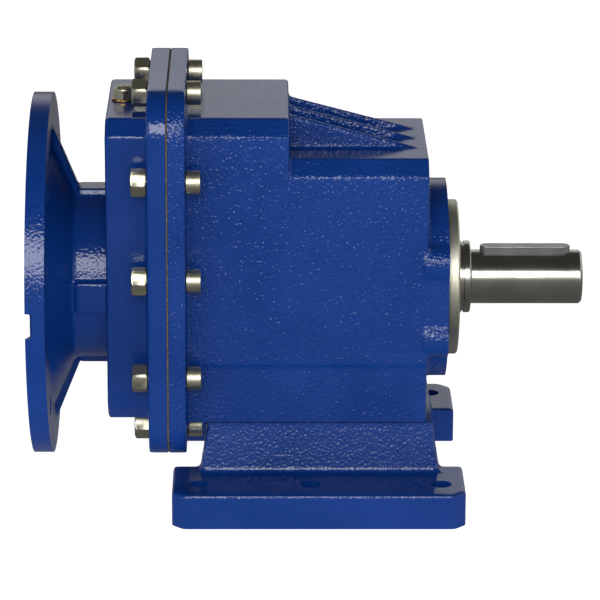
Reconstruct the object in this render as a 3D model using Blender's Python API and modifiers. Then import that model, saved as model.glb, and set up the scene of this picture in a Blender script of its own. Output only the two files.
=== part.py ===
"""Inline helical gear reducer: a square split casing, a round motor flange, a bolt-on foot and a keyed shaft.

Frame: +X towards the output shaft's end, +Z up, origin on the base plane under the middle of the unit. Metres.
Two helical stages: input pinion -> stage 1 gear on the layshaft -> layshaft pinion -> output gear.
"""

import math

import bmesh
import bpy
from mathutils import Matrix, Vector

MM = 0.001
GAP = 0.2 * MM  # left between faces that touch on the real unit

# --- shaft lines, as heights above the base
OUTPUT_Z = 114.0 * MM
INPUT_Z = OUTPUT_Z + 2.5 * MM
LAYSHAFT_Z = OUTPUT_Z + 50.0 * MM

# --- stations along the shaft
FLANGE_FACE_X = -151.6 * MM
FLANGE_BACK_X = -141.1 * MM
NECK_X = -129.0 * MM
COVER_X = -110.3 * MM
COVER_PLATE_X = -87.4 * MM
JOINT_X = -76.8 * MM
HOUSING_PLATE_X = -67.1 * MM
STEP_X = -11.2 * MM
HOUSING_END_X = 64.3 * MM
PAD_X = 75.8 * MM
SPIGOT_X = 82.4 * MM
COLLAR_X = 89.6 * MM
SHAFT_END_X = 151.6 * MM

# --- casing
CASE_BOTTOM_Z = OUTPUT_Z - 68.0 * MM
CASE_TOP_Z = OUTPUT_Z + 102.0 * MM
LOW_TOP_Z = OUTPUT_Z + 79.7 * MM
CASE_HALF_W = 52.0 * MM
CASE_CHAMFER = 8.3 * MM
WALL = 7.0 * MM
END_WALL = 8.0 * MM
FLOOR = 9.0 * MM
PLATE_HALF_W = 70.0 * MM
PLATE_MIDDLE_Z = OUTPUT_Z + 16.2 * MM
PLATE_HALF_H = 102.5 * MM
PLATE_CORNER = 24.5 * MM
GASKET = 0.8 * MM
WEB_X = (-30.0 * MM, -14.0 * MM)  # inner wall that carries two bearings
RIB_Y = (-20.0 * MM, 0.0, 20.0 * MM)
RIB_THICKNESS = 4.0 * MM
RIB_START_Z = OUTPUT_Z + 97.2 * MM
RIB_END_X = 57.4 * MM
LUG_Y = 44.0 * MM
LUG_RISE = 21.0 * MM
LUG_R = 10.5 * MM
PAD_R = 55.0 * MM
PAD_HALF_W = 51.5 * MM
SIDE_LEDGE_Z = OUTPUT_Z - 35.0 * MM  # the case is a little narrower below this
SIDE_LEDGE = 1.2 * MM
SPIGOT_R = 43.0 * MM

# --- M8 fastening of the casing joint
BOLT_R = 4.0 * MM
BOLT_HOLE_R = 4.4 * MM
BOLT_HEAD_R = 6.5 * MM
BOLT_HEAD_H = 8.0 * MM
NUT_FLATS = 13.6 * MM
NUT_H = 8.8 * MM
SIDE_BOLT_Y = 62.0 * MM
SIDE_BOLT_STEP = 55.2 * MM
END_BOLT_Y = 24.3 * MM
END_BOLT_RISE = 95.0 * MM

# --- motor flange, IEC size 200
FLANGE_R = 100.0 * MM
RECESS_R = 65.0 * MM
RECESS_DEPTH = 5.0 * MM
FLANGE_HOLE_PCR = 82.5 * MM
FLANGE_HOLE_R = 5.5 * MM
NECK_R = 47.0 * MM
NECK_PAD_R = 50.0 * MM
NECK_PAD_W = 16.0 * MM
BELL_FLOOR_X = -134.0 * MM
GUSSET_R = 88.0 * MM
GUSSET_T = 8.0 * MM
NOTCH_STEPS = ((3.9 * MM, 92.0 * MM), (2.2 * MM, 62.0 * MM))  # depth from the face, inner radius
NOTCH_W = 10.8 * MM
FLANGE_SCREW_R = 39.5 * MM

# --- foot
FOOT_X = (-74.6 * MM, 84.8 * MM)
FOOT_HALF_W = 95.0 * MM
RAIL_W = 48.0 * MM
RAIL_H = 19.3 * MM
RAIL_CHAMFER = 6.3 * MM
FOOT_TOP_Z = CASE_BOTTOM_Z - GAP
FOOT_TOP_PLATE = 10.0 * MM
PEDESTAL_X = (-60.0 * MM, 72.0 * MM)
PEDESTAL_TAPER = 4.5 * MM
FOOT_HOLE_R = 5.5 * MM
FOOT_HOLES_X = (-60.5 * MM, 0.5 * MM, 72.0 * MM)
FOOT_HOLE_Y = 77.0 * MM
FOOT_SCREWS_X = (-38.0 * MM, 44.0 * MM)
FOOT_SCREW_Y = 34.0 * MM

# --- gears: (teeth, profile shift)
STAGE1_PINION = (12, 0.35)
STAGE1_GEAR = (48, -0.35)
STAGE2_PINION = (15, 0.3)
STAGE2_GEAR = (48, -0.3)
STAGE1_FACE_X = (-87.0 * MM, -71.0 * MM)
STAGE2_FACE_X = (-57.5 * MM, -38.0 * MM)
STAGE2_PINION_X = (STAGE2_FACE_X[0] - MM, STAGE2_FACE_X[1] + MM)
HELIX = math.radians(14)
PRESSURE = math.radians(20)
BACKLASH = 0.35 * MM

# --- bearings: (bore radius, outer radius, width)
INPUT_BEARING = (17.5 * MM, 31.0 * MM, 14.0 * MM)
LAY_BEARING = (8.5 * MM, 20.0 * MM, 12.0 * MM)
WEB_BEARING = (12.5 * MM, 26.0 * MM, 15.0 * MM)
OUTPUT_BEARING = (17.5 * MM, 36.0 * MM, 17.0 * MM)
BALL_COUNT = 7
INPUT_BEARING_X = (-125.0 * MM, -111.0 * MM)
REAR_LAY_BEARING_X = (-101.9 * MM, -89.9 * MM)
FRONT_LAY_BEARING_X = (-28.0 * MM, -16.0 * MM)
WEB_BEARING_X = (-29.5 * MM, -14.5 * MM)
OUTPUT_BEARING_X = (46.5 * MM, 63.5 * MM)

# --- output shaft and key
SHAFT_R = 15.0 * MM
COLLAR_R = 20.0 * MM
KEY_X = (95.0 * MM, 145.0 * MM)
KEY_W = 8.0 * MM
KEY_H = 7.0 * MM
KEY_TOP_Z = OUTPUT_Z + 18.3 * MM
MOTOR_SHAFT_R = 9.5 * MM
MOTOR_KEY_W = 6.0 * MM
SEAL_W = 7.0 * MM
INPUT_SEAL_R = 25.0 * MM
OUTPUT_SEAL_R = 31.0 * MM
BREATHER_X, BREATHER_Y = -101.5 * MM, -4.0 * MM

ROUND = 24  # sides of a large turned piece
SMALL_ROUND = 10

ALONG_X = Matrix(((0, 0, 1, 0), (1, 0, 0, 0), (0, 1, 0, 0), (0, 0, 0, 1)))  # local x, y, z become Y, Z, X

MATERIALS = {}


def clear_scene():
    for obj in list(bpy.data.objects):
        bpy.data.objects.remove(obj)


def material(name, colour, roughness, metallic):
    made = bpy.data.materials.new(name)
    made.use_nodes = True
    shader = made.node_tree.nodes["Principled BSDF"]
    shader.inputs["Base Color"].default_value = (*colour, 1)
    shader.inputs["Roughness"].default_value = roughness
    shader.inputs["Metallic"].default_value = metallic
    MATERIALS[name] = made


def make_materials():
    material("blue_paint", (0.02, 0.06, 0.30), 0.3, 0.0)
    material("machined_steel", (0.62, 0.61, 0.58), 0.25, 1.0)
    material("zinc_steel", (0.60, 0.59, 0.52), 0.3, 1.0)
    material("gear_steel", (0.40, 0.40, 0.41), 0.35, 1.0)
    material("bearing_steel", (0.70, 0.70, 0.72), 0.15, 1.0)
    material("seal_rubber", (0.03, 0.03, 0.03), 0.6, 0.0)
    material("gasket_paper", (0.16, 0.14, 0.12), 0.8, 0.0)
    material("brass", (0.70, 0.48, 0.15), 0.3, 1.0)


# --- shape helpers; each returns a mesh object in the unit's frame


def link(mesh, name, matrix=None):
    obj = bpy.data.objects.new(name, mesh)
    bpy.context.scene.collection.objects.link(obj)
    obj.matrix_world = matrix or Matrix()
    return obj


def baked(obj, name):
    """The object's evaluated shape as a closed mesh in the unit's frame. The object itself is removed."""
    bpy.context.view_layer.update()
    graph = bpy.context.evaluated_depsgraph_get()
    mesh = bpy.data.meshes.new_from_object(obj.evaluated_get(graph))
    mesh.transform(obj.matrix_world)
    bpy.data.objects.remove(obj)
    shape = bmesh.new()
    shape.from_mesh(mesh)
    bmesh.ops.remove_doubles(shape, verts=shape.verts, dist=0.004 * MM)
    bmesh.ops.dissolve_degenerate(shape, edges=shape.edges, dist=0.002 * MM)
    bmesh.ops.recalc_face_normals(shape, faces=shape.faces)
    shape.to_mesh(mesh)
    shape.free()
    mesh.name = name
    return link(mesh, name)


def box(low, high, name="box"):
    bpy.ops.mesh.primitive_cube_add(size=1)
    obj = bpy.context.object
    obj.location = (Vector(low) + Vector(high)) / 2
    obj.scale = Vector(high) - Vector(low)
    return baked(obj, name)


def turned(profile, y, z, sides=ROUND, name="turned"):
    """A closed ring or a solid turned about the line along X at (y, z). The profile's points are (x, radius)."""
    closed = all(radius > 0 for _, radius in profile)
    mesh = bpy.data.meshes.new(name)
    count = len(profile)
    edges = [(i, (i + 1) % count) for i in range(count if closed else count - 1)]
    mesh.from_pydata([(radius, 0, x) for x, radius in profile], edges, [])
    obj = link(mesh, name, Matrix.Translation((0, y, z)) @ ALONG_X)
    screw = obj.modifiers.new("turn", "SCREW")
    screw.steps = screw.render_steps = sides
    screw.use_merge_vertices = True
    screw.merge_threshold = 0.01 * MM
    return baked(obj, name)


def cylinder(x0, x1, radius, y, z, sides=ROUND, name="cylinder"):
    return turned([(x0, 0), (x0, radius), (x1, radius), (x1, 0)], y, z, sides, name)


def upright(z0, z1, radius, x, y, sides=SMALL_ROUND, name="upright"):
    """A vertical cylinder."""
    bpy.ops.mesh.primitive_cylinder_add(vertices=sides, radius=radius, depth=z1 - z0, location=(x, y, (z0 + z1) / 2))
    return baked(bpy.context.object, name)


def prism(outline, x0, x1, name="prism"):
    """A flat outline of (y, z) points, extruded along X from x0 to x1."""
    curve = bpy.data.curves.new(name, "CURVE")
    curve.dimensions = "2D"
    curve.fill_mode = "BOTH"
    curve.extrude = (x1 - x0) / 2
    spline = curve.splines.new("POLY")
    spline.points.add(len(outline) - 1)
    for point, (y, z) in zip(spline.points, outline):
        point.co = (y, z, 0, 1)
    spline.use_cyclic_u = True
    return baked(link(curve, name, Matrix.Translation(((x0 + x1) / 2, 0, 0)) @ ALONG_X), name)


def slab(outline, y, thickness, name="slab"):
    """A flat outline of (x, z) points, given a thickness about the plane at y."""
    shape = bmesh.new()
    face = shape.faces.new([shape.verts.new((x, y - thickness / 2, z)) for x, z in outline])
    made = bmesh.ops.extrude_face_region(shape, geom=[face])["geom"]
    far_side = [part for part in made if isinstance(part, bmesh.types.BMVert)]
    bmesh.ops.translate(shape, verts=far_side, vec=(0, thickness, 0))
    mesh = bpy.data.meshes.new(name)
    shape.to_mesh(mesh)
    shape.free()
    return baked(link(mesh, name), name)


def boolean(target, others, operation):
    name = target.name
    for other in others:
        step = target.modifiers.new(operation.lower(), "BOOLEAN")
        step.operation = operation
        step.object = other
    made = baked(target, name)
    for other in others:
        bpy.data.objects.remove(other)
    made.name = name
    return made


def joined(target, *others):
    return boolean(target, others, "UNION")


def cut(target, *others):
    return boolean(target, others, "DIFFERENCE")


def finished(obj, name, material_name):
    obj.name = name
    obj.data.name = name
    obj.data.materials.clear()
    obj.data.materials.append(MATERIALS[material_name])
    obj.data.shade_smooth()
    obj.data.set_sharp_from_angle(angle=math.radians(30))
    return obj


# --- outlines


def chamfered_section(half_w, low, high, chamfer):
    right = [(half_w - chamfer, low), (half_w, low + chamfer), (half_w, high - chamfer), (half_w - chamfer, high)]
    return right + [(-y, z) for y, z in reversed(right)]


def rounded_section(half_w, half_h, middle_z, radius, steps=4):
    points = []
    for quarter, (side_y, side_z) in enumerate(((1, 1), (-1, 1), (-1, -1), (1, -1))):
        centre = (side_y * (half_w - radius), middle_z + side_z * (half_h - radius))
        for i in range(steps + 1):
            angle = (quarter + i / steps) * math.pi / 2
            points.append((centre[0] + radius * math.cos(angle), centre[1] + radius * math.sin(angle)))
    return points


def plate_outline(inset=0.0):
    return rounded_section(PLATE_HALF_W - inset, PLATE_HALF_H - inset, PLATE_MIDDLE_Z, PLATE_CORNER - inset)


def cavity_outline(top_z):
    return chamfered_section(CASE_HALF_W - WALL, CASE_BOTTOM_Z + FLOOR, top_z - WALL, CASE_CHAMFER - 3 * MM)


def joint_bolts():
    """(y, z) of the ten bolts round the casing joint."""
    sides = [(s * SIDE_BOLT_Y, PLATE_MIDDLE_Z + k * SIDE_BOLT_STEP) for s in (-1, 1) for k in (1, 0, -1)]
    ends = [(s * END_BOLT_Y, PLATE_MIDDLE_Z + k * END_BOLT_RISE) for k in (1, -1) for s in (-1, 1)]
    return sides + ends


def on_circle(radius, count, first_angle, middle_z):
    """(y, z) of points spaced round a circle."""
    angles = [first_angle + i * 2 * math.pi / count for i in range(count)]
    return [(radius * math.cos(a), middle_z + radius * math.sin(a)) for a in angles]


def joint_holes(x0, x1):
    return [cylinder(x0, x1, BOLT_HOLE_R, y, z, SMALL_ROUND) for y, z in joint_bolts()]


# --- casings


def housing():
    plate_x0 = JOINT_X + GASKET / 2 + GAP
    body = prism(plate_outline(), plate_x0, HOUSING_PLATE_X, "housing")
    high_section = chamfered_section(CASE_HALF_W, CASE_BOTTOM_Z, CASE_TOP_Z, CASE_CHAMFER)
    low_section = chamfered_section(CASE_HALF_W, CASE_BOTTOM_Z, LOW_TOP_Z, CASE_CHAMFER)
    high = prism(high_section, plate_x0 + MM, STEP_X)
    low = prism(low_section, STEP_X - 5 * MM, HOUSING_END_X)
    ribs = [stiffening_rib(y) for y in RIB_Y]
    lugs = [cylinder(HOUSING_END_X - 2 * MM, PAD_X, LUG_R, y, z, SMALL_ROUND) for y, z in lug_places()]
    spigot = cylinder(PAD_X - MM, SPIGOT_X, SPIGOT_R, 0, OUTPUT_Z)
    body = joined(body, high, low, *ribs)
    body = cut(body, side_relief(1), side_relief(-1))
    body = joined(body, output_pad(), *lugs, spigot)

    front_chamber_end = OUTPUT_BEARING_X[0] - MM
    chambers = [
        prism(cavity_outline(CASE_TOP_Z), plate_x0 - MM, WEB_X[0]),
        prism(cavity_outline(LOW_TOP_Z), WEB_X[1], front_chamber_end),
    ]
    bores = [
        cylinder(WEB_X[0] - MM, WEB_X[1] + MM, WEB_BEARING[1] + GAP, 0, OUTPUT_Z),
        cylinder(WEB_X[0] - MM, WEB_X[1] + MM, LAY_BEARING[1] + GAP, 0, LAYSHAFT_Z),
        output_bore(front_chamber_end - MM),
    ]
    lug_holes = [cylinder(PAD_X - 14 * MM, PAD_X + MM, 3.4 * MM, y, z, SMALL_ROUND) for y, z in lug_places()]
    foot_holes = [
        upright(CASE_BOTTOM_Z - MM, CASE_BOTTOM_Z + 7.5 * MM, BOLT_HOLE_R, x, y) for x, y in foot_screw_places()
    ]
    holes = joint_holes(plate_x0 - MM, HOUSING_PLATE_X + MM)
    body = cut(body, *chambers, *bores)
    return finished(cut(body, *lug_holes, *foot_holes, *holes), "housing", "blue_paint")


def lug_places():
    return [(sy * LUG_Y, OUTPUT_Z + sz * LUG_RISE) for sy in (-1, 1) for sz in (-1, 1)]


def output_pad():
    """The round boss at the output end, with a flat at each side."""
    x0, x1 = HOUSING_END_X - 2 * MM, PAD_X
    pad = cylinder(x0, x1, PAD_R, 0, OUTPUT_Z)
    trims = []
    for side in (-1, 1):
        y0, y1 = sorted((side * PAD_HALF_W, side * (PAD_R + MM)))
        trims.append(box((x0 - MM, y0, 0), (x1 + MM, y1, 0.2)))
    return cut(pad, *trims)


def side_relief(side):
    """The cutter that makes one side of the case narrower below the ledge."""
    low_z, inner_y, outer_y = CASE_BOTTOM_Z - MM, CASE_HALF_W - SIDE_LEDGE, CASE_HALF_W + MM
    outline = [(inner_y, low_z), (outer_y, low_z), (outer_y, SIDE_LEDGE_Z + 1.8 * MM), (inner_y, SIDE_LEDGE_Z - 2 * MM)]
    points = [(side * y, z) for y, z in outline]
    return prism(points if side > 0 else points[::-1], HOUSING_PLATE_X + MM, HOUSING_END_X + MM)


def output_bore(x0):
    """The stepped bore for the outer bearing and the seal, as a solid to cut away."""
    step_x = OUTPUT_BEARING_X[1] + GAP
    bearing_r, seal_r = OUTPUT_BEARING[1] + GAP, OUTPUT_SEAL_R + GAP
    end_x = SPIGOT_X + MM
    profile = [(x0, 0), (x0, bearing_r), (step_x, bearing_r), (step_x, seal_r), (end_x, seal_r), (end_x, 0)]
    return turned(profile, 0, OUTPUT_Z)


def stiffening_rib(y):
    """A wedge on the low roof, running down from the step."""
    start, end = STEP_X - 2 * MM, RIB_END_X
    outline = [(start, LOW_TOP_Z - 2 * MM), (end, LOW_TOP_Z - 2 * MM), (end, LOW_TOP_Z), (start, RIB_START_Z)]
    return slab(outline, y, RIB_THICKNESS, "rib")


def input_cover():
    plate_x1 = JOINT_X - GASKET / 2 - GAP
    section = chamfered_section(CASE_HALF_W, CASE_BOTTOM_Z, CASE_TOP_Z, CASE_CHAMFER)
    body = prism(section, COVER_X, plate_x1 - MM, "input_cover")
    plate = prism(plate_outline(), COVER_PLATE_X, plate_x1)
    body = joined(body, plate)
    inner_face = COVER_X + END_WALL
    hollow = prism(cavity_outline(CASE_TOP_Z), inner_face, plate_x1 + MM)
    body = cut(body, hollow)
    boss = cylinder(inner_face - 2 * MM, REAR_LAY_BEARING_X[1], LAY_BEARING[1] + 5 * MM, 0, LAYSHAFT_Z)
    body = joined(body, boss)
    bores = [
        cylinder(inner_face, plate_x1, LAY_BEARING[1] + GAP, 0, LAYSHAFT_Z),
        cylinder(COVER_X - MM, inner_face + MM, 19.0 * MM, 0, INPUT_Z),
        upright(CASE_TOP_Z - 20 * MM, CASE_TOP_Z + MM, 5.2 * MM, BREATHER_X, BREATHER_Y),
    ]
    screws = [
        cylinder(COVER_X - MM, inner_face + 0.5 * MM, BOLT_HOLE_R, y, z, SMALL_ROUND)
        for y, z in on_circle(FLANGE_SCREW_R, 4, math.pi / 4, INPUT_Z)
    ]
    holes = joint_holes(COVER_PLATE_X - MM, plate_x1 + MM)
    return finished(cut(body, *bores, *screws, *holes), "input_cover", "blue_paint")


def cover_gasket():
    sheet = prism(plate_outline(0.6 * MM), JOINT_X - GASKET / 2, JOINT_X + GASKET / 2, "cover_gasket")
    window = prism(cavity_outline(CASE_TOP_Z), JOINT_X - MM, JOINT_X + MM)
    return finished(cut(sheet, window, *joint_holes(JOINT_X - MM, JOINT_X + MM)), "cover_gasket", "gasket_paper")


def input_flange():
    back_x = COVER_X - GAP
    profile = [
        (FLANGE_FACE_X, RECESS_R),
        (FLANGE_FACE_X, FLANGE_R),
        (FLANGE_BACK_X, FLANGE_R),
        (FLANGE_BACK_X, 74.0 * MM),
        (NECK_X, NECK_R),
        (back_x, NECK_R),
        (back_x, INPUT_BEARING[1] + GAP),
        (INPUT_BEARING_X[0] - GAP, INPUT_BEARING[1] + GAP),
        (INPUT_BEARING_X[0] - GAP, INPUT_SEAL_R + GAP),
        (BELL_FLOOR_X, INPUT_SEAL_R + GAP),
        (BELL_FLOOR_X, 46.5 * MM),
        (-140.0 * MM, 51.0 * MM),
        (FLANGE_FACE_X + RECESS_DEPTH, 60.0 * MM),
        (FLANGE_FACE_X + RECESS_DEPTH, RECESS_R),
    ]
    body = turned(profile, 0, INPUT_Z, 36, "input_flange")
    gussets = [flange_gusset(side) for side in (1, -1)]
    pads = [neck_pad(k) for k in range(4)]
    body = joined(body, *gussets, *pads)
    bolt_holes = [
        cylinder(FLANGE_FACE_X - MM, FLANGE_BACK_X + 5 * MM, FLANGE_HOLE_R, y, z, SMALL_ROUND)
        for y, z in on_circle(FLANGE_HOLE_PCR, 4, math.pi / 4, INPUT_Z)
    ]
    screw_holes = [
        cylinder(BELL_FLOOR_X - MM, back_x + MM, BOLT_HOLE_R, y, z, SMALL_ROUND)
        for y, z in on_circle(FLANGE_SCREW_R, 4, math.pi / 4, INPUT_Z)
    ]
    notches = [drain_notch(side, depth, inner_r) for side in (1, -1) for depth, inner_r in NOTCH_STEPS]
    return finished(cut(body, *bolt_holes, *screw_holes, *notches), "input_flange", "blue_paint")


def drain_notch(side, depth, inner_r):
    """The cutter for one step of the notch in the flange's face: it widens inwards from the rim."""
    half_w = NOTCH_W / 2
    inner_half_w = half_w + 0.32 * (FLANGE_R - inner_r)
    outline = [(FLANGE_R + MM, -half_w), (FLANGE_R + MM, half_w), (inner_r, inner_half_w), (inner_r, -inner_half_w)]
    points = [(side * y, INPUT_Z + z) for y, z in outline]
    return prism(points if side > 0 else points[::-1], FLANGE_FACE_X - MM, FLANGE_FACE_X + depth)


def flange_gusset(side):
    """The web between the flange's back and its neck, above (side 1) or below (side -1) the shaft."""
    start, end = FLANGE_BACK_X - MM, NECK_X + 3 * MM
    outline = [(start, 66 * MM), (start, GUSSET_R), (end, NECK_R + MM), (end, NECK_R - 7 * MM)]
    return slab([(x, INPUT_Z + side * r) for x, r in outline], 0, GUSSET_T, "gusset")


def neck_pad(quarter):
    pad = box((NECK_X + 2 * MM, -NECK_PAD_W / 2, 36 * MM), (COVER_X - MM, NECK_PAD_W / 2, NECK_PAD_R), "pad")
    pad.data.transform(Matrix.Translation((0, 0, INPUT_Z)) @ Matrix.Rotation(quarter * math.pi / 2, 4, "X"))
    return pad


def foot_screw_places():
    return [(x, s * FOOT_SCREW_Y) for x in FOOT_SCREWS_X for s in (-1, 1)]


def foot_base():
    rails = []
    for side in (-1, 1):
        y0, y1 = sorted((side * (FOOT_HALF_W - RAIL_W), side * FOOT_HALF_W))
        rail = box((FOOT_X[0], y0, 0), (FOOT_X[1], y1, RAIL_H), "foot_base")
        rails.append(with_chamfered_outer_corners(rail, side))
    inner_y = FOOT_HALF_W - RAIL_W
    under_plate = FOOT_TOP_Z - FOOT_TOP_PLATE
    half = [
        (CASE_HALF_W, FOOT_TOP_Z),
        (57.5 * MM, RAIL_H - 0.1 * MM),
        (57.5 * MM, RAIL_H - 4 * MM),
        (inner_y, RAIL_H - 4 * MM),
        (inner_y, RAIL_H),
        (inner_y - 4 * MM, under_plate),
    ]
    pedestal = prism(half + [(-y, z) for y, z in reversed(half)], *PEDESTAL_X)
    for vertex in pedestal.data.vertices:
        rise = max(0.0, (vertex.co.z - RAIL_H) / (FOOT_TOP_Z - RAIL_H))
        vertex.co.x -= math.copysign(PEDESTAL_TAPER * rise, vertex.co.x)
    body = joined(rails[0], rails[1], pedestal)
    holes = [
        upright(-MM, RAIL_H + MM, FOOT_HOLE_R, x, s * FOOT_HOLE_Y) for x in FOOT_HOLES_X for s in (-1, 1)
    ]
    screw_holes = [
        upright(under_plate - 3 * MM, FOOT_TOP_Z + MM, BOLT_HOLE_R, x, y) for x, y in foot_screw_places()
    ]
    return finished(cut(body, *holes, *screw_holes), "foot_base", "blue_paint")


def with_chamfered_outer_corners(rail, side):
    shape = bmesh.new()
    shape.from_mesh(rail.data)
    outer = [
        edge
        for edge in shape.edges
        if all(abs(v.co.y - side * FOOT_HALF_W) < 0.1 * MM for v in edge.verts)
        and abs(edge.verts[0].co.x - edge.verts[1].co.x) < 0.1 * MM
    ]
    bmesh.ops.bevel(shape, geom=outer, offset=RAIL_CHAMFER, segments=1, affect="EDGES")
    shape.to_mesh(rail.data)
    shape.free()
    return rail


# --- fasteners


def socket_screw(length, name):
    """Shank along -X from the origin, head on +X with a hexagon socket."""
    profile = [
        (BOLT_HEAD_H, 0),
        (BOLT_HEAD_H, BOLT_HEAD_R),
        (0, BOLT_HEAD_R),
        (0, BOLT_R),
        (-length, BOLT_R),
        (-length, 0),
    ]
    screw = turned(profile, 0, 0, SMALL_ROUND, name)
    socket = cylinder(BOLT_HEAD_H - 4 * MM, BOLT_HEAD_H + MM, 3.4 * MM, 0, 0, 6)
    return finished(cut(screw, socket), name, "zinc_steel")


def hexagon_nut(name):
    corner_r = NUT_FLATS / 2 / math.cos(math.pi / 6)
    nut = cylinder(-NUT_H, 0, corner_r, 0, 0, 6, name)
    return finished(cut(nut, cylinder(-NUT_H - MM, MM, BOLT_HOLE_R, 0, 0, SMALL_ROUND)), name, "zinc_steel")


def joint_fasteners():
    reach = HOUSING_PLATE_X - COVER_PLATE_X + NUT_H - 0.5 * MM
    screw = socket_screw(reach, "cover_screw_01")
    nut = hexagon_nut("cover_nut_01")
    for number, (y, z) in enumerate(joint_bolts(), start=1):
        at_screw = Vector((HOUSING_PLATE_X + GAP, y, z))
        at_nut = Vector((COVER_PLATE_X - GAP, y, z))
        if number == 1:
            screw.location, nut.location = at_screw, at_nut
            continue
        link(screw.data, f"cover_screw_{number:02d}").location = at_screw
        link(nut.data, f"cover_nut_{number:02d}").location = at_nut


def flange_screws():
    """Heads in the flange's bell, shanks into the cover's wall."""
    first = socket_screw(COVER_X + END_WALL - BELL_FLOOR_X - 1.2 * MM, "flange_screw_1")
    turn_round = Matrix.Rotation(math.pi, 4, "Z")
    for number, (y, z) in enumerate(on_circle(FLANGE_SCREW_R, 4, math.pi / 4, INPUT_Z), start=1):
        obj = first if number == 1 else link(first.data, f"flange_screw_{number}")
        obj.matrix_world = Matrix.Translation((BELL_FLOOR_X - GAP, y, z)) @ turn_round


def foot_screws():
    """Heads under the foot's top plate, shanks up into the housing's floor."""
    first = socket_screw(FOOT_TOP_PLATE + 6.5 * MM, "foot_screw_1")
    head_down = Matrix.Rotation(math.pi / 2, 4, "Y")
    seat_z = FOOT_TOP_Z - FOOT_TOP_PLATE - GAP
    for number, (x, y) in enumerate(foot_screw_places(), start=1):
        obj = first if number == 1 else link(first.data, f"foot_screw_{number}")
        obj.matrix_world = Matrix.Translation((x, y, seat_z)) @ head_down


def breather():
    seat = CASE_TOP_Z + GAP
    washer = upright(seat, seat + 1.2 * MM, 6.6 * MM, BREATHER_X, BREATHER_Y, 24)
    washer = cut(washer, upright(seat - MM, seat + 3 * MM, 5.2 * MM, BREATHER_X, BREATHER_Y, 24))
    finished(washer, "breather_washer", "brass")
    base = seat + 1.2 * MM + GAP
    stem = upright(base - 8 * MM, base + MM, 4.6 * MM, BREATHER_X, BREATHER_Y)
    hexagon = upright(base, base + 4.0 * MM, 6.4 * MM, BREATHER_X, BREATHER_Y, 6)
    bpy.ops.mesh.primitive_cone_add(
        vertices=SMALL_ROUND,
        radius1=5.4 * MM,
        radius2=3.2 * MM,
        depth=3 * MM,
        location=(BREATHER_X, BREATHER_Y, base + 5.2 * MM),
    )
    cap = baked(bpy.context.object, "cap")
    vent = upright(base + 3 * MM, base + 8 * MM, 1.2 * MM, BREATHER_X, BREATHER_Y, 8)
    finished(cut(joined(stem, hexagon, cap), vent), "breather_plug", "zinc_steel")


# --- gears and shafts


def gear_outline(teeth, shift, module, turn):
    """Tooth by tooth, the root and tip points of an involute gear as (y, z); turn puts a tooth's middle there."""
    pitch_r = teeth * module / 2
    base_r = pitch_r * math.cos(PRESSURE)
    root_r = pitch_r - module * (1.25 - shift)
    tip_r = pitch_r + module * (0.95 + shift)
    thickness = module * (math.pi / 2 + 2 * shift * math.tan(PRESSURE)) - BACKLASH

    def involute(angle):
        return math.tan(angle) - angle

    def half_angle(radius):
        at = math.acos(min(1.0, base_r / max(radius, base_r)))
        return thickness / (2 * pitch_r) + involute(PRESSURE) - involute(at)

    points = []
    for tooth in range(teeth):
        middle = turn + tooth * 2 * math.pi / teeth
        for radius, side in ((root_r, -1), (tip_r, -1), (tip_r, 1), (root_r, 1)):
            angle = middle + side * half_angle(radius)
            points.append((radius * math.cos(angle), radius * math.sin(angle)))
    return points


def helical_gear(gear, module, face_x, axis_z, turn, hand, slices, name):
    """A solid helical gear. At the middle of its face a tooth's middle lies at the angle turn."""
    teeth, shift = gear
    x0, x1 = face_x
    twist = hand * (x1 - x0) * math.tan(HELIX) / (teeth * module / 2)
    vertices, faces = [], []
    for level in range(slices + 1):
        along = level / slices
        outline = gear_outline(teeth, shift, module, turn + twist * (along - 0.5))
        vertices += [(x0 + along * (x1 - x0), y, axis_z + z) for y, z in outline]
    count = 4 * teeth
    for start in range(0, slices * count, count):
        for i in range(count):
            j = (i + 1) % count
            faces.append((start + i, start + j, start + count + j, start + count + i))
    faces += [tuple(range(count)), tuple(range(slices * count, (slices + 1) * count))]
    mesh = bpy.data.meshes.new(name)
    mesh.from_pydata(vertices, [], faces)
    return baked(link(mesh, name), name)


def stage_module(pinion, gear, centres):
    return 2 * centres / (pinion[0] + gear[0])


STAGE1_MODULE = stage_module(STAGE1_PINION, STAGE1_GEAR, LAYSHAFT_Z - INPUT_Z)
STAGE2_MODULE = stage_module(STAGE2_PINION, STAGE2_GEAR, LAYSHAFT_Z - OUTPUT_Z)
UP, DOWN = math.pi / 2, -math.pi / 2


def gap_at(direction, gear):
    """The turn that puts a gap, not a tooth, at a direction."""
    return direction + math.pi / gear[0]


def input_shaft():
    pinion_x = (STAGE1_FACE_X[0] - 1 * MM, STAGE1_FACE_X[1] + 1 * MM)
    pinion = helical_gear(STAGE1_PINION, STAGE1_MODULE, pinion_x, INPUT_Z, UP, -1, 3, "input_shaft")
    seat_x1 = INPUT_BEARING_X[1]
    profile = [
        (-148.0 * MM, 0),
        (-148.0 * MM, INPUT_BEARING[0] - 0.5 * MM),
        (seat_x1 + GAP, INPUT_BEARING[0] - 0.5 * MM),
        (seat_x1 + GAP, 18.0 * MM),
        (COVER_X + END_WALL, 18.0 * MM),
        (COVER_X + END_WALL + 4 * MM, 7.0 * MM),
        (pinion_x[0] + 2 * MM, 7.0 * MM),
        (pinion_x[0] + 2 * MM, 0),
    ]
    body = joined(pinion, turned(profile, 0, INPUT_Z))
    bore_end = -148.0 * MM + 41 * MM
    bore = cylinder(-149.0 * MM, bore_end, MOTOR_SHAFT_R, 0, INPUT_Z)
    keyway = box(
        (-149.0 * MM, -MOTOR_KEY_W / 2, INPUT_Z),
        (bore_end, MOTOR_KEY_W / 2, INPUT_Z + MOTOR_SHAFT_R + 2.8 * MM),
    )
    return finished(cut(body, bore, keyway), "input_shaft", "gear_steel")


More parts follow.
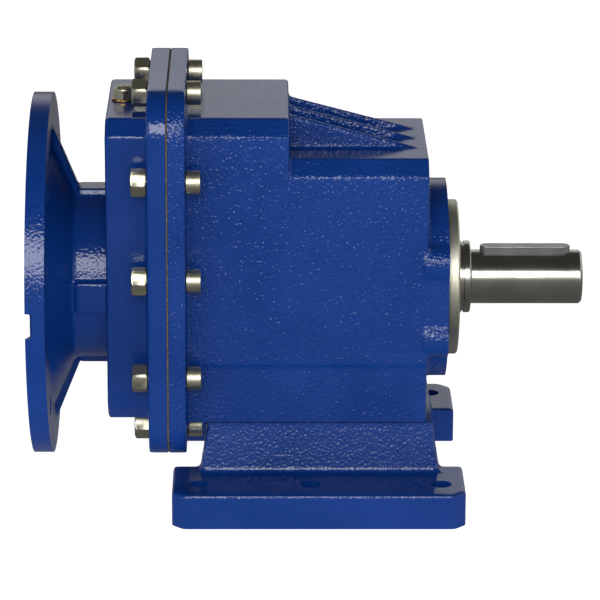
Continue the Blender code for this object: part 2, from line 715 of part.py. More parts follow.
def layshaft():
    turn = gap_at(DOWN, STAGE2_PINION)
    pinion = helical_gear(STAGE2_PINION, STAGE2_MODULE, STAGE2_PINION_X, LAYSHAFT_Z, turn, -1, 2, "layshaft")
    rear_x0, front_x1 = REAR_LAY_BEARING_X[0], FRONT_LAY_BEARING_X[1]
    seat = LAY_BEARING[0] - GAP
    profile = [
        (rear_x0, 0),
        (rear_x0, seat),
        (REAR_LAY_BEARING_X[1] + MM, seat),
        (REAR_LAY_BEARING_X[1] + MM, 10.0 * MM),
        (FRONT_LAY_BEARING_X[0] - MM, 10.0 * MM),
        (FRONT_LAY_BEARING_X[0] - MM, seat),
        (front_x1, seat),
        (front_x1, 0),
    ]
    return finished(joined(pinion, turned(profile, 0, LAYSHAFT_Z)), "layshaft", "gear_steel")


def stage1_gear():
    turn = gap_at(DOWN, STAGE1_GEAR)
    gear = helical_gear(STAGE1_GEAR, STAGE1_MODULE, STAGE1_FACE_X, LAYSHAFT_Z, turn, 1, 1, "stage1_gear")
    return finished(
        cut(gear, *web_recesses(STAGE1_FACE_X, LAYSHAFT_Z), cylinder(-0.1, 0, 10.15 * MM, 0, LAYSHAFT_Z)),
        "stage1_gear",
        "gear_steel",
    )


def output_gear():
    gear = helical_gear(STAGE2_GEAR, STAGE2_MODULE, STAGE2_FACE_X, OUTPUT_Z, UP, 1, 1, "output_gear")
    return finished(
        cut(gear, *web_recesses(STAGE2_FACE_X, OUTPUT_Z), cylinder(-0.1, 0, 12.15 * MM, 0, OUTPUT_Z)),
        "output_gear",
        "gear_steel",
    )


def web_recesses(face_x, axis_z):
    """Turned recesses in both faces of a wheel, between its hub and its rim."""
    depth = 4 * MM
    x0, x1 = face_x
    spans = ((x0 - MM, x0 + depth), (x1 - depth, x1 + MM))
    return [turned([(a, 18 * MM), (a, 30 * MM), (b, 30 * MM), (b, 18 * MM)], 0, axis_z) for a, b in spans]


def output_shaft():
    web_x0, web_x1 = WEB_BEARING_X
    gear_end = STAGE2_FACE_X[0] - 4.5 * MM
    profile = [
        (gear_end, 0),
        (gear_end, 12.0 * MM),
        (gear_end + 1.6 * MM, 12.0 * MM),
        (gear_end + 1.6 * MM, 11.2 * MM),
        (gear_end + 3.4 * MM, 11.2 * MM),
        (gear_end + 3.4 * MM, 12.0 * MM),
        (web_x0 - MM, 12.0 * MM),
        (web_x0 - MM, WEB_BEARING[0] - GAP),
        (web_x1 + GAP, WEB_BEARING[0] - GAP),
        (web_x1 + GAP, 16.0 * MM),
        (OUTPUT_BEARING_X[0], 16.0 * MM),
        (OUTPUT_BEARING_X[0], OUTPUT_BEARING[0] - GAP),
        (OUTPUT_BEARING_X[1] + GAP, OUTPUT_BEARING[0] - GAP),
        (OUTPUT_BEARING_X[1] + GAP, COLLAR_R),
        (COLLAR_X - 0.8 * MM, COLLAR_R),
        (COLLAR_X, COLLAR_R - 0.8 * MM),
        (COLLAR_X, SHAFT_R),
        (SHAFT_END_X - 1 * MM, SHAFT_R),
        (SHAFT_END_X, SHAFT_R - 1 * MM),
        (SHAFT_END_X, 0),
    ]
    body = turned(profile, 0, OUTPUT_Z, ROUND, "output_shaft")
    keyseat = key_solid(GAP, "keyseat")
    centre = cylinder(SHAFT_END_X - 22 * MM, SHAFT_END_X + MM, 4.2 * MM, 0, OUTPUT_Z, SMALL_ROUND)
    return finished(cut(body, keyseat, centre), "output_shaft", "machined_steel")


def key_solid(extra, name):
    """A round-ended key, lying along X and grown by extra all round."""
    x0, x1 = KEY_X
    z0 = KEY_TOP_Z - KEY_H - extra
    z1 = KEY_TOP_Z + (5 * MM if extra else 0)
    half = KEY_W / 2 + extra
    body = box((x0 + KEY_W / 2, -half, z0), (x1 - KEY_W / 2, half, z1), name)
    ends = [upright(z0, z1, half, x, 0, 24) for x in (x0 + KEY_W / 2, x1 - KEY_W / 2)]
    return joined(body, *ends)


def gear_circlip():
    x0 = STAGE2_FACE_X[0] - 4.5 * MM + 1.9 * MM
    ring = turned(
        [(x0, 11.5 * MM), (x0, 15.0 * MM), (x0 + 1.2 * MM, 15.0 * MM), (x0 + 1.2 * MM, 11.5 * MM)], 0, OUTPUT_Z
    )
    split = box((x0 - MM, -3 * MM, OUTPUT_Z - 20 * MM), (x0 + 3 * MM, 3 * MM, OUTPUT_Z))
    return finished(cut(ring, split), "gear_circlip", "gear_steel")


# --- bearings and seals


def bearing(name, sizes, x0, axis_z):
    """Deep-groove ball bearing: outer ring, inner ring, and the balls in their cage."""
    bore_r, outer_r, width = sizes
    ball_r = 0.28 * (outer_r - bore_r)
    track_r = (bore_r + outer_r) / 2
    x1, middle = x0 + width, x0 + width / 2
    shoulder = 0.5 * ball_r

    def ring(plain_r, land_r, groove_r, half_groove):
        points = [
            (x0, plain_r),
            (x1, plain_r),
            (x1, land_r),
            (middle + half_groove, groove_r),
            (middle - half_groove, groove_r),
            (x0, land_r),
        ]
        return turned(points, 0, axis_z)

    half_groove = 0.6 * ball_r
    outer = ring(outer_r, track_r + shoulder, track_r + ball_r + 0.45 * MM, half_groove)
    finished(outer, f"{name}_outer_ring", "bearing_steel")
    inner = ring(bore_r + 0.05 * MM, track_r - shoulder, track_r - ball_r - 0.25 * MM, half_groove)
    finished(inner, f"{name}_inner_ring", "bearing_steel")
    cage_r0, cage_r1 = track_r - 0.22 * ball_r, track_r + 0.22 * ball_r
    a, b = middle - 1.2 * ball_r, middle + 1.2 * ball_r
    cage = turned([(a, cage_r0), (a, cage_r1), (b, cage_r1), (b, cage_r0)], 0, axis_z, 2 * BALL_COUNT, "cage")
    shape = bmesh.new()
    for y, z in on_circle(track_r, BALL_COUNT, 0, axis_z):
        at = Matrix.Translation((middle, y, z))
        bmesh.ops.create_uvsphere(shape, u_segments=6, v_segments=4, radius=ball_r, matrix=at)
    mesh = bpy.data.meshes.new("balls")
    shape.to_mesh(mesh)
    shape.free()
    finished(joined(cage, link(mesh, "balls")), f"{name}_balls", "bearing_steel")


def lip_seal(name, x0, inner_r, outer_r, axis_z):
    x1 = x0 + SEAL_W
    lip = inner_r + 0.35 * MM
    profile = [
        (x0, lip + 2 * MM),
        (x0, outer_r),
        (x1, outer_r),
        (x1, lip + 1 * MM),
        (x1 - 1.5 * MM, lip),
        (x1 - 3 * MM, lip + 2 * MM),
    ]
    return finished(turned(profile, 0, axis_z, ROUND), name, "seal_rubber")


def bearings():
    bearing("input_bearing", INPUT_BEARING, INPUT_BEARING_X[0], INPUT_Z)
    bearing("layshaft_rear_bearing", LAY_BEARING, REAR_LAY_BEARING_X[0], LAYSHAFT_Z)
    bearing("layshaft_front_bearing", LAY_BEARING, FRONT_LAY_BEARING_X[0], LAYSHAFT_Z)
    bearing("output_inner_bearing", WEB_BEARING, WEB_BEARING_X[0], OUTPUT_Z)
    bearing("output_outer_bearing", OUTPUT_BEARING, OUTPUT_BEARING_X[0], OUTPUT_Z)


def main():
    clear_scene()
    make_materials()
    housing()
    input_cover()
    cover_gasket()
    input_flange()
    foot_base()
    joint_fasteners()
    flange_screws()
    foot_screws()
    breather()
    input_shaft()
    layshaft()
    stage1_gear()
    output_gear()
    output_shaft()
    finished(key_solid(0, "output_key"), "output_key", "gear_steel")
    gear_circlip()
    bearings()
    lip_seal("input_seal", BELL_FLOOR_X + 0.5 * MM, INPUT_BEARING[0], INPUT_SEAL_R, INPUT_Z)
    lip_seal("output_seal", SPIGOT_X - 0.8 * MM - SEAL_W, COLLAR_R, OUTPUT_SEAL_R, OUTPUT_Z)


main()
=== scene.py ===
"""Looks of an inline helical gear reducer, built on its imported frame.

The castings are closed solids rounded by a voxel remesh and then machined: faces, bores and
holes are cut crisp.
Frame: +X towards the output shaft's end, +Z up. Metres.
"""

import math
import random

import bmesh
import bpy
from mathutils import Matrix, Vector


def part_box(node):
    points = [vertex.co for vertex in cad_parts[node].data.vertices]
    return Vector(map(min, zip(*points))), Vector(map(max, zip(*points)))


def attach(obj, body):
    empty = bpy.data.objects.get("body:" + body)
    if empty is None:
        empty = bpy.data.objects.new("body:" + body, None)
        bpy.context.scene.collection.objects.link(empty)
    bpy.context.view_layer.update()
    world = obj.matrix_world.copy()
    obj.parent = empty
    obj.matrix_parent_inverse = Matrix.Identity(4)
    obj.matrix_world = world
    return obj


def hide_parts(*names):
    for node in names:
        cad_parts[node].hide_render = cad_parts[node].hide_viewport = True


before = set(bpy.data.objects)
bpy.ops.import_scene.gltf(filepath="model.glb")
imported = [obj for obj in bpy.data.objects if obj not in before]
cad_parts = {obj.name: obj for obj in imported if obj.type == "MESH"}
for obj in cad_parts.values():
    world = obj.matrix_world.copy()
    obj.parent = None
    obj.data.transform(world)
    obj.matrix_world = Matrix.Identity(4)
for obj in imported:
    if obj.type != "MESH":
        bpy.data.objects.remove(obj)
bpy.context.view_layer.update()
MM = 0.001
CASING, OUTPUT, LAYSHAFT, INPUT = "casing", "output", "layshaft", "input"
FINE = 96  # sides of a large turned piece
MEDIUM = 48  # sides of a small one
COARSE = 24  # sides of a screw hole
GAP = 0.2 * MM  # stands in for touching faces
FAR = 0.3  # past the unit on every side
CUTTER = 10 * MM  # thickness of the cutters that face the castings
ALLOWANCE = 3 * MM  # what a casting has on the faces that are machined off
ONE_PLANE_DEG = 0.35  # faces within this angle are merged

# --- places read from the frame
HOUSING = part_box("housing")
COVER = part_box("input_cover")
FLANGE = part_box("input_flange")
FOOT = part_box("foot_base")
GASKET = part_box("cover_gasket")
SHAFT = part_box("output_shaft")
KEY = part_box("output_key")
INPUT_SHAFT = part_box("input_shaft")
OUTPUT_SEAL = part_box("output_seal")
INPUT_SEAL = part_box("input_seal")
OUTPUT_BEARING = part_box("output_outer_bearing_outer_ring")
WEB_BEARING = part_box("output_inner_bearing_outer_ring")
REAR_LAY_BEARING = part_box("layshaft_rear_bearing_outer_ring")
FRONT_LAY_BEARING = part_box("layshaft_front_bearing_outer_ring")
INPUT_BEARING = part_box("input_bearing_outer_ring")
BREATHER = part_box("breather_plug")
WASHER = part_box("breather_washer")
COVER_SCREWS = [f"cover_screw_{number:02d}" for number in range(1, 11)]
COVER_NUTS = [f"cover_nut_{number:02d}" for number in range(1, 11)]
FLANGE_SCREWS = [f"flange_screw_{number}" for number in range(1, 5)]
FOOT_SCREWS = [f"foot_screw_{number}" for number in range(1, 5)]


def middle_z(low_high):
    return (low_high[0].z + low_high[1].z) / 2


def radius_of(low_high):
    return (low_high[1].z - low_high[0].z) / 2


def centre_of(node):
    low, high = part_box(node)
    return (low + high) / 2


def centres_of(nodes):
    return [centre_of(node) for node in nodes]


OUTPUT_Z = middle_z(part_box("output_gear"))
INPUT_Z = middle_z(FLANGE)
LAYSHAFT_Z = middle_z(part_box("stage1_gear"))

# --- casing sizes that the frame's boxes don't give
HOUSING_PLATE_X = HOUSING[0].x + 9.2 * MM
HOUSING_END_X = HOUSING[1].x - 18.1 * MM
PAD_X = HOUSING[1].x - 6.6 * MM
SPIGOT_X = HOUSING[1].x
SPIGOT_R = 43.0 * MM
PAD_R = 55.0 * MM
PAD_HALF_W = 51.5 * MM
SIDE_LEDGE_Z = OUTPUT_Z - 35.0 * MM
SIDE_LEDGE = 1.2 * MM
LUG_Y, LUG_RISE = 44.0 * MM, 21.0 * MM
LUG_R = 10.5 * MM
STEP_X = HOUSING_PLATE_X + 55.9 * MM
CASE_HALF_W = 52.0 * MM
CASE_CHAMFER = 8.3 * MM
CASE_BOTTOM_Z = FOOT[1].z + GAP
CASE_TOP_Z = OUTPUT_Z + 102.0 * MM
LOW_TOP_Z = OUTPUT_Z + 79.7 * MM
WALL = 7.0 * MM
FLOOR = 9.0 * MM
END_WALL = 8.0 * MM
PLATE_HALF_W = HOUSING[1].y
PLATE_HALF_H = radius_of(HOUSING)
PLATE_MIDDLE_Z = middle_z(HOUSING)
PLATE_CORNER = 24.5 * MM
COVER_PLATE_X = COVER[1].x - 10.0 * MM
RIB_Y = (-20.0 * MM, 0.0, 20.0 * MM)
RIB_THICKNESS = 3.6 * MM
RIB_START_Z = OUTPUT_Z + 98.8 * MM
RIB_END_X = 59.5 * MM
BOLT_HOLE_R = 4.3 * MM

# --- flange and foot
FLANGE_R = radius_of(FLANGE)
FLANGE_BACK_X = FLANGE[0].x + 10.5 * MM
NECK_X = FLANGE[0].x + 22.6 * MM
NECK_R = 47.0 * MM
NECK_PAD_R = 50.0 * MM
NECK_PAD_W = 17.0 * MM
BELL_FLOOR_X = INPUT_SEAL[0].x - 0.5 * MM
RECESS_R = 65.0 * MM
RECESS_DEPTH = 5.0 * MM
FLANGE_HOLE_PCR = 82.5 * MM
FLANGE_HOLE_R = 5.5 * MM
GUSSET_R = 88.0 * MM
GUSSET_T = 8.0 * MM
NOTCH_W = 10.8 * MM
NOTCH_STEPS = ((3.9 * MM, 92.0 * MM), (2.2 * MM, 62.0 * MM))  # depth, inner radius
NOTCH_FLARE = 0.32  # how much each side opens per metre inwards
FOOT_HALF_W = FOOT[1].y
RAIL_W = 48.0 * MM
RAIL_H = 19.3 * MM
RAIL_CHAMFER = 6.3 * MM
PEDESTAL_X = (-60.0 * MM, 72.0 * MM)
PEDESTAL_TAPER = 4.5 * MM
PEDESTAL_ROOT_Y = 58.0 * MM
FOOT_TOP_PLATE = 10.0 * MM
FOOT_HOLES_X = (-60.5 * MM, 0.5 * MM, 72.0 * MM)
FOOT_HOLE_Y = 77.0 * MM

MATERIALS = {}
# local x, y, z become Y, Z, X
ALONG_X = Matrix(((0, 0, 1, 0), (1, 0, 0, 0), (0, 1, 0, 0), (0, 0, 0, 1)))


# --- mesh tools


def link(mesh, name, matrix=None):
    obj = bpy.data.objects.new(name, mesh)
    bpy.context.scene.collection.objects.link(obj)
    obj.matrix_world = matrix or Matrix()
    return obj


def baked(obj):
    """The object's evaluated shape in the frame. The object itself is removed."""
    name = obj.name
    bpy.context.view_layer.update()
    graph = bpy.context.evaluated_depsgraph_get()
    mesh = bpy.data.meshes.new_from_object(obj.evaluated_get(graph))
    mesh.transform(obj.matrix_world)
    bpy.data.objects.remove(obj)
    mesh.name = name
    return link(mesh, name)


def from_bmesh(shape, name="shape"):
    bmesh.ops.recalc_face_normals(shape, faces=shape.faces)
    mesh = bpy.data.meshes.new(name)
    shape.to_mesh(mesh)
    shape.free()
    return link(mesh, name)


def eased(points, radius, steps=3, closed=True):
    """The polyline with its corners rounded by short curves. Radius is the curve's reach."""
    made = []
    count = len(points)
    for i, point in enumerate(points):
        if not closed and i in (0, count - 1):
            made.append(tuple(point))
            continue
        corner = Vector(point)
        before = Vector(points[i - 1]) - corner
        after = Vector(points[(i + 1) % count]) - corner
        reach = min(radius, 0.45 * before.length, 0.45 * after.length)
        start = corner + before.normalized() * reach
        end = corner + after.normalized() * reach
        for step in range(steps + 1):
            t = step / steps
            made.append(tuple(start * (1 - t) ** 2 + corner * 2 * t * (1 - t) + end * t**2))
    return made


def turned(profile, y, z, sides=FINE, ease=0.0):
    """A closed ring, or a solid when it touches the axis, turned about the line along X at (y, z).
    The profile's points are (x, radius)."""
    ring = all(radius > 0 for _, radius in profile)
    if ease:
        profile = eased(profile, ease, closed=ring)
    count = len(profile)
    mesh = bpy.data.meshes.new("profile")
    edges = [(i, (i + 1) % count) for i in range(count if ring else count - 1)]
    mesh.from_pydata([(radius, 0, x) for x, radius in profile], edges, [])
    obj = link(mesh, "profile", Matrix.Translation((0, y, z)) @ ALONG_X)
    screw = obj.modifiers.new("turn", "SCREW")
    screw.steps = screw.render_steps = sides
    screw.use_merge_vertices = True
    screw.merge_threshold = 0.002 * MM
    made = baked(obj)
    shape = bmesh.new()
    shape.from_mesh(made.data)
    bmesh.ops.remove_doubles(shape, verts=shape.verts, dist=0.001 * MM)
    bpy.data.objects.remove(made)
    return from_bmesh(shape)


def to_axis(points):
    """A solid's profile: the points, with both ends taken straight to the axis."""
    return [(points[0][0], 0), *points, (points[-1][0], 0)]


def cylinder(x0, x1, radius, y, z, sides=MEDIUM):
    return turned(to_axis([(x0, radius), (x1, radius)]), y, z, sides)


def extruded(outline, place, vector):
    """A flat outline, each point put in space by place, thickened along vector."""
    shape = bmesh.new()
    face = shape.faces.new([shape.verts.new(place(a, b)) for a, b in outline])
    made = bmesh.ops.extrude_face_region(shape, geom=[face])["geom"]
    far_side = [part for part in made if isinstance(part, bmesh.types.BMVert)]
    bmesh.ops.translate(shape, verts=far_side, vec=vector)
    return from_bmesh(shape)


def prism(outline, x0, x1):
    """An outline of (y, z) points, from x0 to x1."""
    return extruded(outline, lambda y, z: (x0, y, z), (x1 - x0, 0, 0))


def slab(outline, y, thickness):
    """An outline of (x, z) points, thickness wide about the plane at y."""
    return extruded(outline, lambda x, z: (x, y - thickness / 2, z), (0, thickness, 0))


def block(low, high):
    """A box between two corners."""
    (x0, y0, z0), (x1, y1, z1) = low, high
    return prism([(y0, z0), (y1, z0), (y1, z1), (y0, z1)], x0, x1)


def upright(z0, z1, radius, x, y, sides=MEDIUM):
    """A vertical cylinder."""
    around = [2 * math.pi * i / sides for i in range(sides)]
    outline = [(x + radius * math.cos(a), y + radius * math.sin(a)) for a in around]
    return extruded(outline, lambda px, py: (px, py, z0), (0, 0, z1 - z0))


def boolean(target, others, operation):
    for other in others:
        step = target.modifiers.new(operation, "BOOLEAN")
        step.operation = operation
        step.solver = "MANIFOLD"
        step.object = other
    made = baked(target)
    for other in others:
        bpy.data.objects.remove(other)
    return made


def joined(target, *others):
    return boolean(target, others, "UNION")


def cut(target, *others):
    return boolean(target, others, "DIFFERENCE")


def cast(shape, voxel, rounds):
    """The solid as a sand casting: outer edges and inner corners rounded, flat faces kept."""
    remesh = shape.modifiers.new("skin", "REMESH")
    remesh.mode = "VOXEL"
    remesh.voxel_size = voxel
    smooth = shape.modifiers.new("soften", "SMOOTH")
    smooth.factor = 0.5
    smooth.iterations = rounds
    return baked(shape)


def thinned(obj):
    """Merges the faces that lie in one plane."""
    shape = bmesh.new()
    shape.from_mesh(obj.data)
    limit = math.radians(ONE_PLANE_DEG)
    bmesh.ops.dissolve_limit(shape, angle_limit=limit, verts=shape.verts, edges=shape.edges)
    bmesh.ops.triangulate(shape, faces=[f for f in shape.faces if len(f.verts) > 4])
    shape.to_mesh(obj.data)
    shape.free()
    return obj


def show(obj, name, body, material, replaces=(), sharp_deg=32):
    """Finishes a piece: name, smooth shading, material, and the body that it rides on."""
    obj.name = name
    obj.data.name = name
    obj.data.materials.clear()
    obj.data.materials.append(MATERIALS[material])
    obj.data.shade_smooth()
    obj.data.set_sharp_from_angle(angle=math.radians(sharp_deg))
    normals = obj.modifiers.new("even_normals", "WEIGHTED_NORMAL")
    normals.keep_sharp = True
    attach(obj, body)
    if replaces:
        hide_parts(*replaces)
    return obj


# --- materials


def nodes_of(material):
    return material.node_tree.nodes, material.node_tree.links


def new_material(name, colour, roughness, metallic=0.0):
    material = bpy.data.materials.new(name)
    material.use_nodes = True
    shader = material.node_tree.nodes["Principled BSDF"]
    shader.inputs["Base Color"].default_value = (*colour, 1)
    shader.inputs["Roughness"].default_value = roughness
    shader.inputs["Metallic"].default_value = metallic
    MATERIALS[name] = material
    return material, shader


def noise(material, scale, detail=3.0, stretch=(1, 1, 1)):
    """A noise over the piece's own coordinates. Scale is in cycles per metre."""
    nodes, links = nodes_of(material)
    where = nodes.new("ShaderNodeTexCoord")
    mapping = nodes.new("ShaderNodeMapping")
    mapping.inputs["Scale"].default_value = stretch
    texture = nodes.new("ShaderNodeTexNoise")
    texture.inputs["Scale"].default_value = scale
    texture.inputs["Detail"].default_value = detail
    texture.inputs["Roughness"].default_value = 0.5
    links.new(where.outputs["Object"], mapping.inputs["Vector"])
    links.new(mapping.outputs["Vector"], texture.inputs["Vector"])
    return texture.outputs["Fac"]


def ramp(material, source, stops):
    """A colour ramp. Stops are (place, colour)."""
    nodes, links = nodes_of(material)
    made = nodes.new("ShaderNodeValToRGB")
    band = made.color_ramp
    while len(band.elements) < len(stops):
        band.elements.new(0.5)
    for element, (place, colour) in zip(band.elements, stops):
        element.position = place
        element.color = (*colour, 1)
    links.new(source, made.inputs["Fac"])
    return made.outputs["Color"]


def tint(material, shader, source, dark, light):
    """The base colour, from dark to light along the source."""
    tone = ramp(material, source, [(0.3, dark), (0.7, light)])
    material.node_tree.links.new(tone, shader.inputs["Base Color"])


def bump(material, shader, heights):
    """Stacks bump maps on the shader. Heights are (source, strength, distance in metres)."""
    nodes, links = nodes_of(material)
    last = None
    steps = []
    for source, strength, distance in heights:
        step = nodes.new("ShaderNodeBump")
        steps.append(step)
        step.inputs["Strength"].default_value = strength
        step.inputs["Distance"].default_value = distance
        links.new(source, step.inputs["Height"])
        if last:
            links.new(last, step.inputs["Normal"])
        last = step.outputs["Normal"]
    links.new(last, shader.inputs["Normal"])
    return steps


def grey(value):
    return (value, value, value)


def pebbles(material, scale):
    """Low domes, one to a cell. Scale is in cells per metre."""
    nodes, links = nodes_of(material)
    where = nodes.new("ShaderNodeTexCoord")
    cells = nodes.new("ShaderNodeTexVoronoi")
    cells.feature = "SMOOTH_F1"
    cells.inputs["Scale"].default_value = scale
    cells.inputs["Smoothness"].default_value = 0.6
    links.new(where.outputs["Object"], cells.inputs["Vector"])
    return ramp(material, cells.outputs["Distance"], [(0.0, grey(1.0)), (0.75, grey(0.0))])


def paint(name, pebble, pebble_depth, pits=0.5):
    """Gloss enamel over sand-cast iron, smooth where it faces up. Pebble is domes per metre."""
    material, shader = new_material(name, (0.003, 0.033, 0.19), 0.2)
    nodes, links = nodes_of(material)
    shader.inputs["IOR"].default_value = 1.42
    shader.inputs["Coat Weight"].default_value = 0.06
    shader.inputs["Coat Roughness"].default_value = 0.05
    drift = noise(material, 28.0, 3.0)
    tint(material, shader, drift, (0.002, 0.029, 0.172), (0.004, 0.036, 0.212))
    gloss = ramp(material, drift, [(0.25, grey(0.14)), (0.75, grey(0.22))])
    links.new(gloss, shader.inputs["Roughness"])
    facing = nodes.new("ShaderNodeNewGeometry")
    upward = nodes.new("ShaderNodeSeparateXYZ")
    links.new(facing.outputs["Normal"], upward.inputs["Vector"])
    height = upward.outputs["Z"]
    rough_skin = ramp(material, height, [(0.75, grey(0.9)), (0.95, grey(0.12))])
    domes = pebbles(material, pebble)
    grain = noise(material, pebble * 0.6, 2.0)
    holes = noise(material, pebble * 0.8, 1.0)
    hollows = ramp(material, holes, [(0.26, grey(0.0)), (0.34, grey(1.0))])
    heights = [
        (domes, 0.9, pebble_depth),
        (grain, 0.9, pebble_depth * 0.8),
        (hollows, pits, pebble_depth * 0.3),
    ]
    steps = bump(material, shader, heights)
    for step in steps[:2]:
        links.new(rough_skin, step.inputs["Strength"])
    return material


def metal(name, dark, light, rough, streaks, depth, scale=260.0):
    """Bare metal. Streaks is the stretch of the machining marks."""
    material, shader = new_material(name, light, rough, 1.0)
    tint(material, shader, noise(material, 60.0, 4.0), dark, light)
    marks = noise(material, scale, 3.0, streaks)
    sheen = ramp(material, marks, [(0.25, grey(rough * 0.75)), (0.75, grey(rough * 1.35))])
    material.node_tree.links.new(sheen, shader.inputs["Roughness"])
    bump(material, shader, [(marks, 0.5, depth)])
    return material


def soft(name, dark, light, rough, scale, depth):
    """Rubber, paper and other dull skins."""
    material, shader = new_material(name, light, rough)
    grain = noise(material, scale, 4.0)
    tint(material, shader, grain, dark, light)
    bump(material, shader, [(grain, 0.6, depth)])
    return material


TURNED = (14.0, 0.5, 0.5)  # marks that run round the X axis
GROUND = (0.4, 5.0, 5.0)  # marks that run along X
EVEN = (1, 1, 1)


def make_materials():
    paint("paint_case", 620.0, 0.37 * MM)
    paint("paint_foot", 620.0, 0.15 * MM)
    paint("paint_cover", 420.0, 0.16 * MM, 0.6)
    paint("paint_flange", 640.0, 0.15 * MM)
    metal("faced_steel", (0.62, 0.60, 0.48), (0.76, 0.74, 0.62), 0.44, TURNED, 0.03 * MM)
    metal("ground_steel", (0.44, 0.43, 0.39), (0.56, 0.55, 0.50), 0.18, TURNED, 0.015 * MM)
    metal("zinc", (0.50, 0.48, 0.34), (0.64, 0.62, 0.48), 0.38, EVEN, 0.006 * MM, 700.0)
    metal("key_steel", (0.30, 0.30, 0.31), (0.42, 0.42, 0.44), 0.36, GROUND, 0.02 * MM)
    metal("gear_steel", (0.26, 0.26, 0.27), (0.40, 0.40, 0.41), 0.30, EVEN, 0.02 * MM)
    metal("bearing_steel", (0.58, 0.58, 0.60), (0.70, 0.70, 0.72), 0.12, TURNED, 0.006 * MM)
    metal("cage_steel", (0.34, 0.33, 0.30), (0.50, 0.49, 0.46), 0.34, EVEN, 0.02 * MM)
    metal("brass", (0.48, 0.30, 0.07), (0.72, 0.48, 0.14), 0.28, EVEN, 0.01 * MM, 700.0)
    soft("rubber", (0.012, 0.012, 0.013), (0.030, 0.030, 0.032), 0.55, 900.0, 0.02 * MM)
    soft("gasket", (0.05, 0.035, 0.025), (0.16, 0.13, 0.09), 0.85, 700.0, 0.08 * MM)


# --- outlines


def chamfered_section(half_w, low, high, chamfer, low_chamfer=None):
    low_chamfer = chamfer if low_chamfer is None else low_chamfer
    right = [
        (half_w - low_chamfer, low),
        (half_w, low + low_chamfer),
        (half_w, high - chamfer),
        (half_w - chamfer, high),
    ]
    return right + [(-y, z) for y, z in reversed(right)]


def plate_outline(inset=0.0, steps=12):
    half_w, half_h, radius = PLATE_HALF_W - inset, PLATE_HALF_H - inset, PLATE_CORNER - inset
    points = []
    for quarter, (side_y, side_z) in enumerate(((1, 1), (-1, 1), (-1, -1), (1, -1))):
        centre_y = side_y * (half_w - radius)
        centre_z = PLATE_MIDDLE_Z + side_z * (half_h - radius)
        for i in range(steps + 1):
            angle = (quarter + i / steps) * math.pi / 2
            points.append((centre_y + radius * math.cos(angle), centre_z + radius * math.sin(angle)))
    return points


def cavity_outline(top_z):
    half_w, low = CASE_HALF_W - WALL, CASE_BOTTOM_Z + FLOOR
    section = chamfered_section(half_w, low, top_z - WALL, CASE_CHAMFER - 3 * MM)
    return eased(section, 4 * MM)


def on_circle(radius, count, first_angle, centre_z):
    angles = [first_angle + i * 2 * math.pi / count for i in range(count)]
    return [(radius * math.cos(a), centre_z + radius * math.sin(a)) for a in angles]


def bolt_holes(x0, x1, screws):
    """Cutters along X for the shanks of the screws."""
    return [cylinder(x0, x1, BOLT_HOLE_R, c.y, c.z, COARSE) for c in centres_of(screws)]


def upright_bolt_holes(z0, z1, screws):
    return [upright(z0, z1, BOLT_HOLE_R, c.x, c.y, COARSE) for c in centres_of(screws)]


def faced(x, towards):
    """The cutter that faces a casting square to the shafts at x."""
    x0, x1 = sorted((x, x + towards * CUTTER))
    return block((x0, -FAR, -FAR), (x1, FAR, FAR))


def lug_places():
    return [(sy * LUG_Y, OUTPUT_Z + sz * LUG_RISE) for sy in (-1, 1) for sz in (-1, 1)]


# --- castings


def show_casting(body, material, node):
    return show(thinned(body), node + "_casting", CASING, material, [node])


